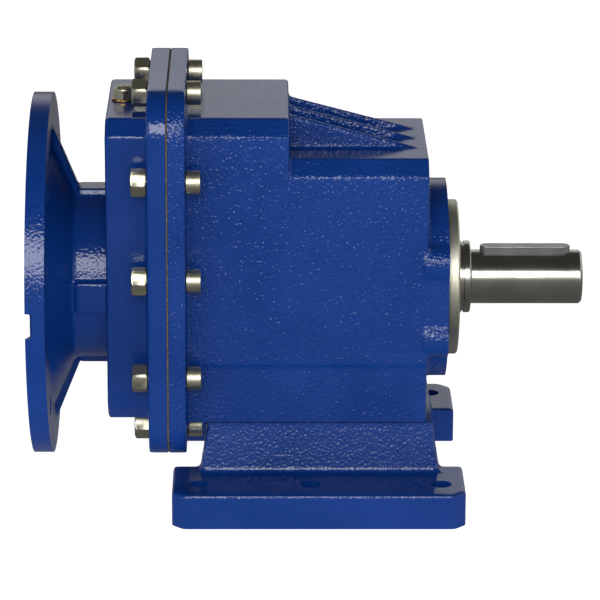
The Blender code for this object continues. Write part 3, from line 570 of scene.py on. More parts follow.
def housing():
    joint_x = HOUSING[0].x
    low_z, edge = CASE_BOTTOM_Z - ALLOWANCE, 1 * MM
    body = prism(plate_outline(), joint_x - ALLOWANCE, HOUSING_PLATE_X)
    section = chamfered_section(CASE_HALF_W, low_z, CASE_TOP_Z, CASE_CHAMFER, edge)
    high = prism(section, joint_x, STEP_X)
    section = chamfered_section(CASE_HALF_W, low_z, LOW_TOP_Z, CASE_CHAMFER, edge)
    low = prism(section, STEP_X - 5 * MM, HOUSING_END_X)
    ribs = [stiffening_rib(y) for y in RIB_Y]
    pad_x0, pad_x1 = HOUSING_END_X - 2 * MM, PAD_X + ALLOWANCE
    pad = cylinder(pad_x0, pad_x1, PAD_R, 0, OUTPUT_Z, FINE)
    past = 0.1
    flat_spans = ((PAD_HALF_W, past), (-past, -PAD_HALF_W))
    flats = [block((0, y0, 0), (past, y1, FAR)) for y0, y1 in flat_spans]
    lugs = [cylinder(pad_x0, pad_x1, LUG_R, y, z) for y, z in lug_places()]
    body = cut(joined(body, high, low, *ribs), side_relief(1), side_relief(-1))
    body = cast(joined(body, cut(pad, *flats), *lugs), 1.1 * MM, 4)

    front_end = OUTPUT_BEARING[0].x - MM
    web_x0, web_x1 = WEB_BEARING[0].x - 0.5 * MM, WEB_BEARING[1].x + 0.5 * MM
    floor_x = HOUSING_PLATE_X + 1.2 * MM
    faces = [
        faced(joint_x, -1),
        block((PAD_X, -FAR, 0), (PAD_X + CUTTER, FAR, FAR)),
        # the joint plate reaches lower than the case, so only the case's floor is faced
        block((floor_x, -FAR, CASE_BOTTOM_Z - CUTTER), (FAR, FAR, CASE_BOTTOM_Z)),
    ]
    seat_x0, seat_x1 = web_x0 - MM, web_x1 + MM
    chambers = [
        prism(cavity_outline(CASE_TOP_Z), joint_x - MM, web_x0),
        prism(cavity_outline(LOW_TOP_Z), web_x1, front_end),
        cylinder(seat_x0, seat_x1, radius_of(WEB_BEARING) + GAP, 0, OUTPUT_Z, FINE),
        cylinder(seat_x0, seat_x1, radius_of(FRONT_LAY_BEARING) + GAP, 0, LAYSHAFT_Z, FINE),
    ]
    bearing_r, seal_r = radius_of(OUTPUT_BEARING) + GAP, radius_of(OUTPUT_SEAL) + GAP
    step_x = OUTPUT_BEARING[1].x + GAP
    bore = [
        (front_end - MM, bearing_r),
        (step_x, bearing_r),
        (step_x, seal_r),
        (PAD_X + 2 * MM, seal_r),
    ]
    chambers.append(turned(to_axis(bore), 0, OUTPUT_Z))
    lug_holes = [tapped_hole(PAD_X, y, z) for y, z in lug_places()]
    z0, z1 = CASE_BOTTOM_Z - MM, CASE_BOTTOM_Z + 7.5 * MM
    foot_holes = upright_bolt_holes(z0, z1, FOOT_SCREWS)
    joint_holes = bolt_holes(joint_x - MM, HOUSING_PLATE_X + 3 * MM, COVER_SCREWS)
    body = cut(body, *faces, *chambers, *lug_holes, *foot_holes, *joint_holes)
    show_casting(body, "paint_case", "housing")
    return spigot_ring(seal_r)


def side_relief(side):
    """The cutter that makes one side of the case narrower below the ledge."""
    low_z, inner_y, outer_y = CASE_BOTTOM_Z - 9 * MM, CASE_HALF_W - SIDE_LEDGE, CASE_HALF_W + MM
    low_edge = [(inner_y, low_z), (outer_y, low_z)]
    high_edge = [(outer_y, SIDE_LEDGE_Z + 1.2 * MM), (inner_y, SIDE_LEDGE_Z - MM)]
    outline = [(side * y, z) for y, z in low_edge + high_edge]
    return prism(outline, HOUSING_PLATE_X + MM, HOUSING_END_X + MM)


def stiffening_rib(y):
    """A wedge on the low roof, running down from the step."""
    start, end, root_z = STEP_X - 2 * MM, RIB_END_X, LOW_TOP_Z - 2 * MM
    outline = [(start, root_z), (end, root_z), (end, LOW_TOP_Z), (start, RIB_START_Z)]
    return slab(outline, y, RIB_THICKNESS)


def tapped_hole(face_x, y, z):
    """A hole with a countersunk mouth at face_x, running towards -X."""
    mouth, deep = face_x + MM, face_x - 14 * MM
    r = 3.4 * MM
    mouth_r = r + 1.8 * MM
    profile = [(deep - 2 * MM, 0), (deep, r), (face_x - 0.8 * MM, r), (mouth, mouth_r), (mouth, 0)]
    return turned(profile, y, z, COARSE)


def spigot_ring(bore_r):
    """The machined face and centring spigot round the output seal."""
    root_x, undercut_x, undercut_r = PAD_X + 0.02 * MM, PAD_X + 0.9 * MM, SPIGOT_R - 1.2 * MM
    profile = [
        (root_x, bore_r),
        (root_x, undercut_r),
        (undercut_x, undercut_r),
        (undercut_x, SPIGOT_R),
        (SPIGOT_X - 0.9 * MM, SPIGOT_R),
        (SPIGOT_X, SPIGOT_R - 0.9 * MM),
        (SPIGOT_X, bore_r + 0.8 * MM),
        (SPIGOT_X - 0.8 * MM, bore_r),
    ]
    ring = turned(profile, 0, OUTPUT_Z, FINE, 0.2 * MM)
    return show(ring, "output_spigot", CASING, "faced_steel")


def input_cover():
    face_x, joint_x = COVER[0].x, COVER[1].x
    section = chamfered_section(CASE_HALF_W, CASE_BOTTOM_Z, CASE_TOP_Z, CASE_CHAMFER)
    body = prism(section, face_x, joint_x - MM)
    plate = prism(plate_outline(), COVER_PLATE_X, joint_x + ALLOWANCE)
    body = cast(joined(body, plate), 1.15 * MM, 5)
    inner_face = face_x + END_WALL
    cavity = prism(cavity_outline(CASE_TOP_Z), inner_face, joint_x + MM)
    body = cut(body, faced(joint_x, 1), cavity)
    seat_r, seat_x0 = radius_of(REAR_LAY_BEARING), inner_face - 2 * MM
    seat = cylinder(seat_x0, REAR_LAY_BEARING[1].x, seat_r + 5 * MM, 0, LAYSHAFT_Z, FINE)
    body = joined(body, seat)
    shaft_hole_r, vent_hole_r, vent = 19 * MM, 5.2 * MM, centre_of("breather_plug")
    body = cut(
        body,
        cylinder(inner_face, joint_x, seat_r + GAP, 0, LAYSHAFT_Z, FINE),
        cylinder(face_x - MM, inner_face + MM, shaft_hole_r, 0, INPUT_Z, FINE),
        upright(CASE_TOP_Z - 20 * MM, CASE_TOP_Z + MM, vent_hole_r, vent.x, vent.y),
        *bolt_holes(face_x - MM, inner_face + MM, FLANGE_SCREWS),
        *bolt_holes(COVER_PLATE_X - 3 * MM, joint_x + MM, COVER_SCREWS),
    )
    return show_casting(body, "paint_cover", "input_cover")


def cover_gasket():
    low, high = GASKET
    x0, x1 = low.x - MM, high.x + MM
    sheet = prism(plate_outline(0.4 * MM), low.x, high.x)
    cavity = prism(cavity_outline(CASE_TOP_Z), x0, x1)
    sheet = cut(sheet, cavity, *bolt_holes(x0, x1, COVER_SCREWS))
    return show(sheet, "cover_gasket_sheet", CASING, "gasket", ["cover_gasket"])


def input_flange():
    face_x, back_x = FLANGE[0].x, FLANGE[1].x
    allowance = 2 * MM
    rough_r, bore_r = FLANGE_R + allowance, 30 * MM
    bell = [
        (face_x - allowance, 62 * MM),
        (face_x - allowance, rough_r),
        (FLANGE_BACK_X, rough_r),
        (FLANGE_BACK_X, 74 * MM),
        (NECK_X, NECK_R),
        (back_x + allowance, NECK_R),
        (back_x + allowance, bore_r),
        (BELL_FLOOR_X, bore_r),
        (BELL_FLOOR_X, 46.5 * MM),
        (-140.0 * MM, 51.0 * MM),
        (face_x + RECESS_DEPTH, 59 * MM),
    ]
    body = turned(bell, 0, INPUT_Z, FINE)
    gussets = [flange_gusset(side) for side in (1, -1)]
    pads = [neck_pad(quarter) for quarter in range(4)]
    body = cast(joined(body, *gussets, *pads), 1.15 * MM, 5)

    rim_x0, rim_x1, rim_r = face_x - 0.02, FLANGE_BACK_X + 3 * MM, 0.14
    rim = [(rim_x0, FLANGE_R), (rim_x0, rim_r), (rim_x1, rim_r), (rim_x1, FLANGE_R)]
    bearing_x, bearing_r = INPUT_BEARING[0].x - GAP, radius_of(INPUT_BEARING) + GAP
    seal_r = radius_of(INPUT_SEAL) + GAP
    bore = [
        (BELL_FLOOR_X - 1 * MM, seal_r + 1.6 * MM),
        (BELL_FLOOR_X + 0.6 * MM, seal_r),
        (bearing_x, seal_r),
        (bearing_x, bearing_r),
        (back_x + MM, bearing_r),
    ]
    recess = [
        (face_x - MM, RECESS_R + 0.8 * MM),
        (face_x + 0.8 * MM, RECESS_R),
        (face_x + RECESS_DEPTH, RECESS_R),
    ]
    hole_places = on_circle(FLANGE_HOLE_PCR, 4, math.pi / 4, INPUT_Z)
    pocket_x0, pocket_r = BELL_FLOOR_X - 9 * MM, 7.2 * MM
    pocket_places = centres_of(FLANGE_SCREWS)
    cutters = [
        faced(face_x, -1),
        faced(back_x, 1),
        turned(rim, 0, INPUT_Z, 2 * FINE),
        turned(to_axis(bore), 0, INPUT_Z),
        turned(to_axis(recess), 0, INPUT_Z),
        *[flange_hole(face_x, y, z) for y, z in hole_places],
        *bolt_holes(BELL_FLOOR_X - MM, back_x + MM, FLANGE_SCREWS),
        *[cylinder(pocket_x0, BELL_FLOOR_X, pocket_r, c.y, c.z) for c in pocket_places],
        *[rim_notch(face_x, side, *step) for side in (-1, 1) for step in NOTCH_STEPS],
    ]
    return show_casting(cut(body, *cutters), "paint_flange", "input_flange")


def flange_gusset(side):
    """The web between the flange's back and its neck, above the shaft when side is 1."""
    start, end = FLANGE_BACK_X - MM, NECK_X + 3 * MM
    outline = [(start, 66 * MM), (start, GUSSET_R), (end, NECK_R + MM), (end, NECK_R - 7 * MM)]
    return slab([(x, INPUT_Z + side * r) for x, r in outline], 0, GUSSET_T)


def neck_pad(quarter):
    low = (NECK_X + 2 * MM, -NECK_PAD_W / 2, 36 * MM)
    high = (FLANGE[1].x + 2 * MM, NECK_PAD_W / 2, NECK_PAD_R)
    pad = block(low, high)
    about_axis = Matrix.Rotation(quarter * math.pi / 2, 4, "X")
    pad.data.transform(Matrix.Translation((0, 0, INPUT_Z)) @ about_axis)
    return pad


def flange_hole(face_x, y, z):
    r, mouth_r = FLANGE_HOLE_R, FLANGE_HOLE_R + 1.6 * MM
    profile = [(face_x - MM, mouth_r), (face_x + 0.6 * MM, r), (FLANGE_BACK_X + 6 * MM, r)]
    return turned(to_axis(profile), y, z, MEDIUM)


def rim_notch(face_x, side, depth, inner_r):
    """One step of the drain notch, which widens inwards from the rim."""
    half_w = NOTCH_W / 2
    inner_half_w = half_w + NOTCH_FLARE * (FLANGE_R - inner_r)
    outer_y = FLANGE_R + 5 * MM
    outer = [(outer_y, -half_w), (outer_y, half_w)]
    inner = [(inner_r, inner_half_w), (inner_r, -inner_half_w)]
    outline = [(side * y, INPUT_Z + z) for y, z in outer + inner]
    return prism(outline, face_x - MM, face_x + depth)


def foot():
    low, high = FOOT
    inner_y = FOOT_HALF_W - RAIL_W
    rails = []
    for side in (-1, 1):
        outline = [
            (low.x + RAIL_CHAMFER, FOOT_HALF_W),
            (low.x, FOOT_HALF_W - RAIL_CHAMFER),
            (low.x, inner_y),
        ]
        outline += [(low.x + high.x - x, y) for x, y in reversed(outline)]
        flat = [(x, side * y) for x, y in outline]
        up = (0, 0, RAIL_H + ALLOWANCE)
        rails.append(extruded(flat, lambda x, y: (x, y, -ALLOWANCE), up))
    under_plate = high.z - FOOT_TOP_PLATE
    sunk_z = RAIL_H - 6 * MM
    half = [
        (CASE_HALF_W, high.z),
        (PEDESTAL_ROOT_Y, RAIL_H - 0.1 * MM),
        (PEDESTAL_ROOT_Y, sunk_z),
        (inner_y, sunk_z),
        (inner_y, RAIL_H),
        (inner_y - 4 * MM, under_plate),
    ]
    pedestal = prism(half + [(-y, z) for y, z in reversed(half)], *PEDESTAL_X)
    for vertex in pedestal.data.vertices:
        rise = max(0.0, (vertex.co.z - RAIL_H) / (high.z - RAIL_H))
        vertex.co.x -= math.copysign(PEDESTAL_TAPER * rise, vertex.co.x)
    cap_x0, cap_x1 = PEDESTAL_X[0] + PEDESTAL_TAPER, PEDESTAL_X[1] - PEDESTAL_TAPER
    cap_low = (cap_x0, -CASE_HALF_W, high.z - 0.5 * MM)
    cap = block(cap_low, (cap_x1, CASE_HALF_W, high.z + ALLOWANCE))
    body = cast(joined(rails[0], rails[1], pedestal, cap), 1.15 * MM, 6)
    holes = [(x, side * FOOT_HOLE_Y) for x in FOOT_HOLES_X for side in (-1, 1)]
    hole_top, hole_r, deep = RAIL_H + 2 * MM, 5.5 * MM, 0.02
    body = cut(
        body,
        block((-FAR, -FAR, -deep), (FAR, FAR, 0)),
        block((-FAR, -FAR, high.z), (FAR, FAR, high.z + deep)),
        *[upright(-MM, hole_top, hole_r, x, y) for x, y in holes],
        *upright_bolt_holes(under_plate - 3 * MM, high.z + MM, FOOT_SCREWS),
    )
    return show(thinned(body), "foot_casting", CASING, "paint_foot", ["foot_base"])


# --- fasteners


def socket_screw(head_h, length, direction):
    """A socket-head screw on the X axis, its head's underside at 0.
    Direction is 1 when the head is towards +X."""
    head_r, shank_r, edge = 6.5 * MM, 3.95 * MM, 0.1 * MM
    profile = [
        (head_h, head_r - edge),
        (head_h - edge, head_r),
        (0, head_r),
        (0, shank_r),
        (-length + 1.2 * MM, shank_r),
        (-length, shank_r - 1.2 * MM),
    ]
    profile = eased(to_axis(profile), 0.7 * MM, 4, closed=False)
    screw = turned(profile, 0, 0, MEDIUM)
    corner_r = 3.0 * MM / math.cos(math.pi / 6)
    mouth, deep = head_h + MM, head_h - 4.2 * MM
    socket = [(deep - MM, 0), (deep, corner_r), (mouth, corner_r), (mouth, 0)]
    lead_in = to_axis([(head_h - 0.4 * MM, 3.2 * MM), (mouth, 4.6 * MM)])
    screw = cut(screw, turned(socket, 0, 0, 6), turned(lead_in, 0, 0, MEDIUM))
    if direction < 0:
        screw.data.transform(Matrix.Rotation(math.pi, 4, "Z"))
    return screw


def turn(degrees):
    return Matrix.Rotation(math.radians(degrees), 4, "X")


def placed_copies(source, names, matrices, prefix):
    """The source mesh once for each CAD node, each piece standing for its node."""
    for node, matrix in zip(names, matrices):
        piece = link(source.data.copy(), prefix + node, matrix)
        show(piece, prefix + node, CASING, "zinc", [node])
    bpy.data.objects.remove(source)


def fasteners():
    draw = random.Random(4)

    def tightened(seats, head=Matrix()):
        """Each seat's matrix, with the screw turned to any angle."""
        return [Matrix.Translation(seat) @ head @ turn(draw.uniform(0, 60)) for seat in seats]

    low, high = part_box(COVER_SCREWS[0])
    seat_x = HOUSING_PLATE_X + GAP
    screw = socket_screw(high.x - seat_x, seat_x - low.x, 1)
    places = tightened([(seat_x, c.y, c.z) for c in centres_of(COVER_SCREWS)])
    placed_copies(screw, COVER_SCREWS, places, "socket_")

    low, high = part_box(COVER_NUTS[0])
    nut = hexagon_nut(high.x - low.x)
    flat_to_side = {3, 6, 7, 8}  # the others show a corner at the side
    places = []
    for number, c in enumerate(centres_of(COVER_NUTS), start=1):
        lean = draw.uniform(-3, 3) + (30 if number in flat_to_side else 0)
        places.append(Matrix.Translation((low.x, c.y, c.z)) @ turn(lean))
    placed_copies(nut, COVER_NUTS, places, "hex_")

    low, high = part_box(FLANGE_SCREWS[0])
    seat_x = BELL_FLOOR_X - GAP
    screw = socket_screw(seat_x - low.x, high.x - seat_x, -1)
    places = tightened([(seat_x, c.y, c.z) for c in centres_of(FLANGE_SCREWS)])
    placed_copies(screw, FLANGE_SCREWS, places, "socket_")

    low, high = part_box(FOOT_SCREWS[0])
    seat_z = FOOT[1].z - FOOT_TOP_PLATE - GAP
    screw = socket_screw(seat_z - low.z, high.z - seat_z, 1)
    head_down = Matrix.Rotation(math.pi / 2, 4, "Y")
    places = tightened([(c.x, c.y, seat_z) for c in centres_of(FOOT_SCREWS)], head_down)
    placed_copies(screw, FOOT_SCREWS, places, "socket_")


def hexagon_nut(height):
    """A hexagon nut from x = 0 to its height, chamfered at both ends."""
    across_flats, slope, thread_r = 13.6 * MM, 0.9 * MM, 4.2 * MM
    corner_r = across_flats / 2 / math.cos(math.pi / 6)
    end_r = corner_r - 1.7 * MM
    nut = cylinder(0, height, corner_r, 0, 0, 6)
    barrel = [(0, end_r), (slope, corner_r), (height - slope, corner_r), (height, end_r)]
    barrel = eased(to_axis(barrel), 0.5 * MM, 3, closed=False)
    nut = boolean(nut, [turned(barrel, 0, 0, FINE)], "INTERSECT")
    hole = [(-MM, 5.6 * MM), (0.9 * MM, thread_r), (height + MM, thread_r)]
    return cut(nut, turned(to_axis(hole), 0, 0, MEDIUM))


def breather():
    """A hexagon vent plug on a soft washer. Both are made along X and stood up."""
    centre = centre_of("breather_plug")
    seat, top = WASHER[1].z + GAP, BREATHER[1].z
    neck_r, thread_r = 5.2 * MM, 4.5 * MM
    stand = Matrix.Translation((centre.x, centre.y, 0)) @ Matrix.Rotation(-math.pi / 2, 4, "Y")
    hexagon = cylinder(seat, seat + 4.6 * MM, 6.4 * MM, 0, 0, 6)
    dome = [(seat - 2 * MM, 8 * MM), (seat + 3.4 * MM, 8 * MM), (seat + 4.6 * MM, neck_r)]
    plug = boolean(hexagon, [turned(to_axis(dome), 0, 0, MEDIUM)], "INTERSECT")
    body = [
        (BREATHER[0].z, thread_r),
        (seat + 0.5 * MM, thread_r),
        (seat + 0.5 * MM, neck_r),
        (seat + 5.0 * MM, neck_r),
        (top, 3.4 * MM),
    ]
    body = eased(to_axis(body), 0.7 * MM, 4, closed=False)
    plug = joined(plug, turned(body, 0, 0, MEDIUM))
    plug = cut(plug, cylinder(top - 5 * MM, top + MM, 1.1 * MM, 0, 0, COARSE))
    half_turn = Matrix.Scale(-1, 4, (0, 0, 1)) @ Matrix.Scale(-1, 4, (0, 1, 0))
    plug.data.transform(stand @ half_turn)
    show(plug, "vent_plug", CASING, "zinc", ["breather_plug"])
    z0, z1 = WASHER[0].z, WASHER[1].z
    washer_r = (WASHER[1].y - WASHER[0].y) / 2
    profile = [(z0, neck_r), (z0, washer_r), (z1, washer_r), (z1, neck_r)]
    washer = turned(profile, 0, 0, MEDIUM, 0.4 * MM)
    washer.data.transform(stand)
    show(washer, "vent_washer", CASING, "brass", ["breather_washer"])


# --- shafts


def output_shaft():
    low, high = SHAFT
    shaft_r, collar_r = 15 * MM, 20 * MM
    gear_r, groove_r, web_r = 12.0 * MM, 11.2 * MM, 12.3 * MM
    middle_r, bearing_r = 16.0 * MM, 17.3 * MM
    collar_x = SPIGOT_X + 7.2 * MM
    ring_x = (SPIGOT_X + 2.4 * MM, SPIGOT_X + 3.6 * MM)  # a shallow ring in the collar
    ring_r = collar_r - 0.9 * MM
    web_x0, web_x1 = WEB_BEARING[0].x, WEB_BEARING[1].x + GAP
    bearing_x0, bearing_x1 = OUTPUT_BEARING[0].x, OUTPUT_BEARING[1].x + GAP
    circlip_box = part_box("gear_circlip")
    groove_x0, groove_x1 = circlip_box[0].x - 0.3 * MM, circlip_box[1].x + 0.3 * MM
    profile = [
        (low.x, gear_r),
        (groove_x0, gear_r),
        (groove_x0, groove_r),
        (groove_x1, groove_r),
        (groove_x1, gear_r),
        (web_x0 - MM, gear_r),
        (web_x0 - MM, web_r),
        (web_x1, web_r),
        (web_x1, middle_r),
        (bearing_x0, middle_r),
        (bearing_x0, bearing_r),
        (bearing_x1, bearing_r),
        (bearing_x1, collar_r),
        (ring_x[0], collar_r),
        (ring_x[0], ring_r),
        (ring_x[1], ring_r),
        (ring_x[1], collar_r),
        (collar_x - 0.6 * MM, collar_r),
        (collar_x, collar_r - 0.6 * MM),
        (collar_x, shaft_r + 0.9 * MM),
        (collar_x + 0.5 * MM, shaft_r),
        (high.x - 1.4 * MM, shaft_r),
        (high.x, shaft_r - 1.4 * MM),
    ]
    profile = eased(to_axis(profile), 0.25 * MM, 2, closed=False)
    body = turned(profile, 0, OUTPUT_Z, 2 * FINE)
    end, drill_r, mouth_r = high.x, 4.2 * MM, 6.4 * MM
    centre_hole = [
        (end - 22 * MM, 0),
        (end - 20 * MM, drill_r),
        (end - 3.2 * MM, drill_r),
        (end - 0.6 * MM, mouth_r),
        (end + MM, mouth_r),
        (end + MM, 0),
    ]
    keyway = key_solid(0.12 * MM, 4 * MM)
    body = cut(body, keyway, turned(centre_hole, 0, OUTPUT_Z, MEDIUM))
    node = "output_shaft"
    return show(body, node + "_turned", OUTPUT, "ground_steel", [node])


def key_outline(extra):
    low, high = KEY
    half = (high.y - low.y) / 2
    ends = (low.x + half, high.x - half)
    radius = half + extra
    angles = [math.pi / 2 + math.pi * i / 16 for i in range(17)]
    left = [(ends[0] + radius * math.cos(a), radius * math.sin(a)) for a in angles]
    return left + [(ends[0] + ends[1] - x, -y) for x, y in left]


def key_solid(extra, headroom):
    z0, z1 = KEY[0].z - extra, KEY[1].z + headroom
    return extruded(key_outline(extra), lambda x, y: (x, y, z0), (0, 0, z1 - z0))


def output_key():
    key = key_solid(-0.02 * MM, 0)
    bevel = key.modifiers.new("edges", "BEVEL")
    bevel.width = 0.45 * MM
    bevel.segments = 2
    bevel.limit_method = "ANGLE"
    bevel.angle_limit = math.radians(50)
    key = baked(key)
    return show(key, "output_key_ground", OUTPUT, "key_steel", ["output_key"])


def lip_seal(name, cad_node, box, shaft_r, axis_z, outward):
    """A rubber-covered lip seal. Outward is 1 when its open air side faces +X."""
    low, high = box
    width, outer_r = high.x - low.x, radius_of(box)
    lip = shaft_r + 0.3 * MM
    hollow_x = width - 0.8 * MM
    side = [
        (0, outer_r),
        (width, outer_r),
        (width, outer_r - 1.6 * MM),
        (hollow_x, outer_r - 2.4 * MM),
        (hollow_x, lip + 3.0 * MM),
        (width - 0.1 * MM, lip + 1.2 * MM),
        (width - 0.6 * MM, lip),
        (width - 1.6 * MM, lip + 0.2 * MM),
        (width - 2.6 * MM, lip + 2.0 * MM),
        (0, lip + 2.0 * MM),
    ]
    start = low.x if outward > 0 else high.x
    seal = turned([(start + outward * x, r) for x, r in side], 0, axis_z, FINE, 0.3 * MM)
    return show(seal, name, CASING, "rubber", [cad_node])


def input_socket():
    """The hollow end of the input shaft, with its keyway, up to the first pinion."""
    start = INPUT_SHAFT[0].x
    bore_r, outer_r, shoulder_r, core_r = 9.5 * MM, 17.0 * MM, 18 * MM, 7 * MM
    step_x = INPUT_BEARING[1].x + GAP
    inner_face = COVER[0].x + END_WALL
    profile = [
        (start, outer_r - 1.0 * MM),
        (start + 1.0 * MM, outer_r),
        (step_x, outer_r),
        (step_x, shoulder_r),
        (inner_face, shoulder_r),
        (inner_face + 4 * MM, core_r),
        (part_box("stage1_gear")[0].x + 1 * MM, core_r),
    ]
    profile = eased(to_axis(profile), 0.3 * MM, 2, closed=False)
    body = turned(profile, 0, INPUT_Z, FINE)
    end, mouth = start + 41 * MM, start - MM
    bore = to_axis([(mouth, bore_r + 1.8 * MM), (start + 0.8 * MM, bore_r), (end, bore_r)])
    half_w, keyway_top = 6 * MM / 2, INPUT_Z + bore_r + 2.8 * MM
    keyway = block((mouth, -half_w, INPUT_Z), (end, half_w, keyway_top))
    return cut(body, turned(bore, 0, INPUT_Z), keyway)


# --- gears: (teeth, profile shift)
STAGE1_PINION, STAGE1_GEAR = (12, 0.35), (48, -0.35)
STAGE2_PINION, STAGE2_GEAR = (15, 0.3), (48, -0.3)
STAGE1_MODULE = 2 * (LAYSHAFT_Z - INPUT_Z) / (STAGE1_PINION[0] + STAGE1_GEAR[0])
STAGE2_MODULE = 2 * (LAYSHAFT_Z - OUTPUT_Z) / (STAGE2_PINION[0] + STAGE2_GEAR[0])
HELIX = math.radians(14)
PRESSURE = math.radians(20)
BACKLASH = 0.35 * MM
UP, DOWN = math.pi / 2, -math.pi / 2


def gear_outline(gear, module, at_angle):
    """The (y, z) outline of an involute gear with a tooth's middle at at_angle."""
    teeth, shift = gear
    pitch_r = teeth * module / 2
    base_r = pitch_r * math.cos(PRESSURE)
    root_r = pitch_r - module * (1.25 - shift)
    tip_r = pitch_r + module * (0.95 + shift)
    thickness = module * (math.pi / 2 + 2 * shift * math.tan(PRESSURE)) - BACKLASH

    def involute(angle):
        return math.tan(angle) - angle

    def half_angle(radius):
        at = math.acos(min(1.0, base_r / max(radius, base_r)))
        return thickness / (2 * pitch_r) + involute(PRESSURE) - involute(at)

    flank = [root_r + (tip_r - root_r) * t for t in (0.0, 0.3, 0.6, 0.85, 1.0)]
    points = []
    for tooth in range(teeth):
        middle = at_angle + tooth * 2 * math.pi / teeth
        for radius, side in [(r, -1) for r in flank] + [(r, 1) for r in reversed(flank)]:
            angle = middle + side * half_angle(radius)
            points.append((radius * math.cos(angle), radius * math.sin(angle)))
    return points


def helical_gear(gear, module, x0, x1, axis_z, at_angle, hand):
    """A solid helical gear. At the middle of its face a tooth's middle lies at at_angle."""
    slices = 8
    twist = hand * (x1 - x0) * math.tan(HELIX) / (gear[0] * module / 2)
    vertices, faces = [], []
    for level in range(slices + 1):
        along = level / slices
        outline = gear_outline(gear, module, at_angle + twist * (along - 0.5))
        vertices += [(x0 + along * (x1 - x0), y, axis_z + z) for y, z in outline]
    count = len(outline)
    for start in range(0, slices * count, count):
        for i in range(count):
            j = (i + 1) % count
            faces.append((start + i, start + j, start + count + j, start + count + i))
    faces += [tuple(range(count)), tuple(range(slices * count, (slices + 1) * count))]
    shape = bmesh.new()
    mesh = bpy.data.meshes.new("gear")
    mesh.from_pydata(vertices, [], faces)
    shape.from_mesh(mesh)
    return from_bmesh(shape)


def gap_at(direction, gear):
    return direction + math.pi / gear[0]


def wheel(node, gear, module, axis_z, at_angle, body, bore_r):
    """A gear wheel with turned recesses in both faces, in place of a CAD node."""
    low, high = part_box(node)
    x0, x1 = low.x, high.x
    blank = helical_gear(gear, module, x0, x1, axis_z, at_angle, 1)
    depth, hub_r, rim_r = 4 * MM, 18 * MM, 30 * MM
    spans = ((x0 - MM, x0 + depth), (x1 - depth, x1 + MM))
    rings = [[(a, hub_r), (a, rim_r), (b, rim_r), (b, hub_r)] for a, b in spans]
    recesses = [turned(ring, 0, axis_z, FINE) for ring in rings]
    blank = cut(blank, *recesses, cylinder(x0 - MM, x1 + MM, bore_r, 0, axis_z, FINE))
    return show_gear(blank, node + "_hobbed", body, node)


def show_gear(obj, name, body, node):
    return show(obj, name, body, "gear_steel", [node], 25)


def pinion(wheel_node, gear, module, axis_z, at_angle):
    """A pinion a little wider than the wheel it drives."""
    low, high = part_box(wheel_node)
    return helical_gear(gear, module, low.x - MM, high.x + MM, axis_z, at_angle, -1)


def gear_train():
    stage1, stage2 = "stage1_gear", "output_gear"
    at_angle = gap_at(DOWN, STAGE1_GEAR)
    wheel(stage1, STAGE1_GEAR, STAGE1_MODULE, LAYSHAFT_Z, at_angle, LAYSHAFT, 10.15 * MM)
    wheel(stage2, STAGE2_GEAR, STAGE2_MODULE, OUTPUT_Z, UP, OUTPUT, 12.15 * MM)

    teeth = pinion(stage1, STAGE1_PINION, STAGE1_MODULE, INPUT_Z, UP)
    show_gear(joined(input_socket(), teeth), "input_shaft_turned", INPUT, "input_shaft")

    at_angle = gap_at(DOWN, STAGE2_PINION)
    teeth = pinion(stage2, STAGE2_PINION, STAGE2_MODULE, LAYSHAFT_Z, at_angle)
    rear, front = REAR_LAY_BEARING, FRONT_LAY_BEARING
    seat_r, middle_r = 8.3 * MM, 10 * MM
    profile = [
        (rear[0].x, seat_r),
        (rear[1].x + MM, seat_r),
        (rear[1].x + MM, middle_r),
        (front[0].x - MM, middle_r),
        (front[0].x - MM, seat_r),
        (front[1].x, seat_r),
    ]
    profile = eased(to_axis(profile), 0.4 * MM, 2, closed=False)
    shaft = turned(profile, 0, LAYSHAFT_Z, FINE)
    show_gear(joined(shaft, teeth), "layshaft_turned", LAYSHAFT, "layshaft")


# --- bearings

# bore radius, axis, the body its inner ring rides on
BEARINGS = {
    "input_bearing": (17.5 * MM, INPUT_Z, INPUT),
    "layshaft_rear_bearing": (8.5 * MM, LAYSHAFT_Z, LAYSHAFT),
    "layshaft_front_bearing": (8.5 * MM, LAYSHAFT_Z, LAYSHAFT),
    "output_inner_bearing": (12.5 * MM, OUTPUT_Z, OUTPUT),
    "output_outer_bearing": (17.5 * MM, OUTPUT_Z, OUTPUT),
}
BALL_COUNT = 7


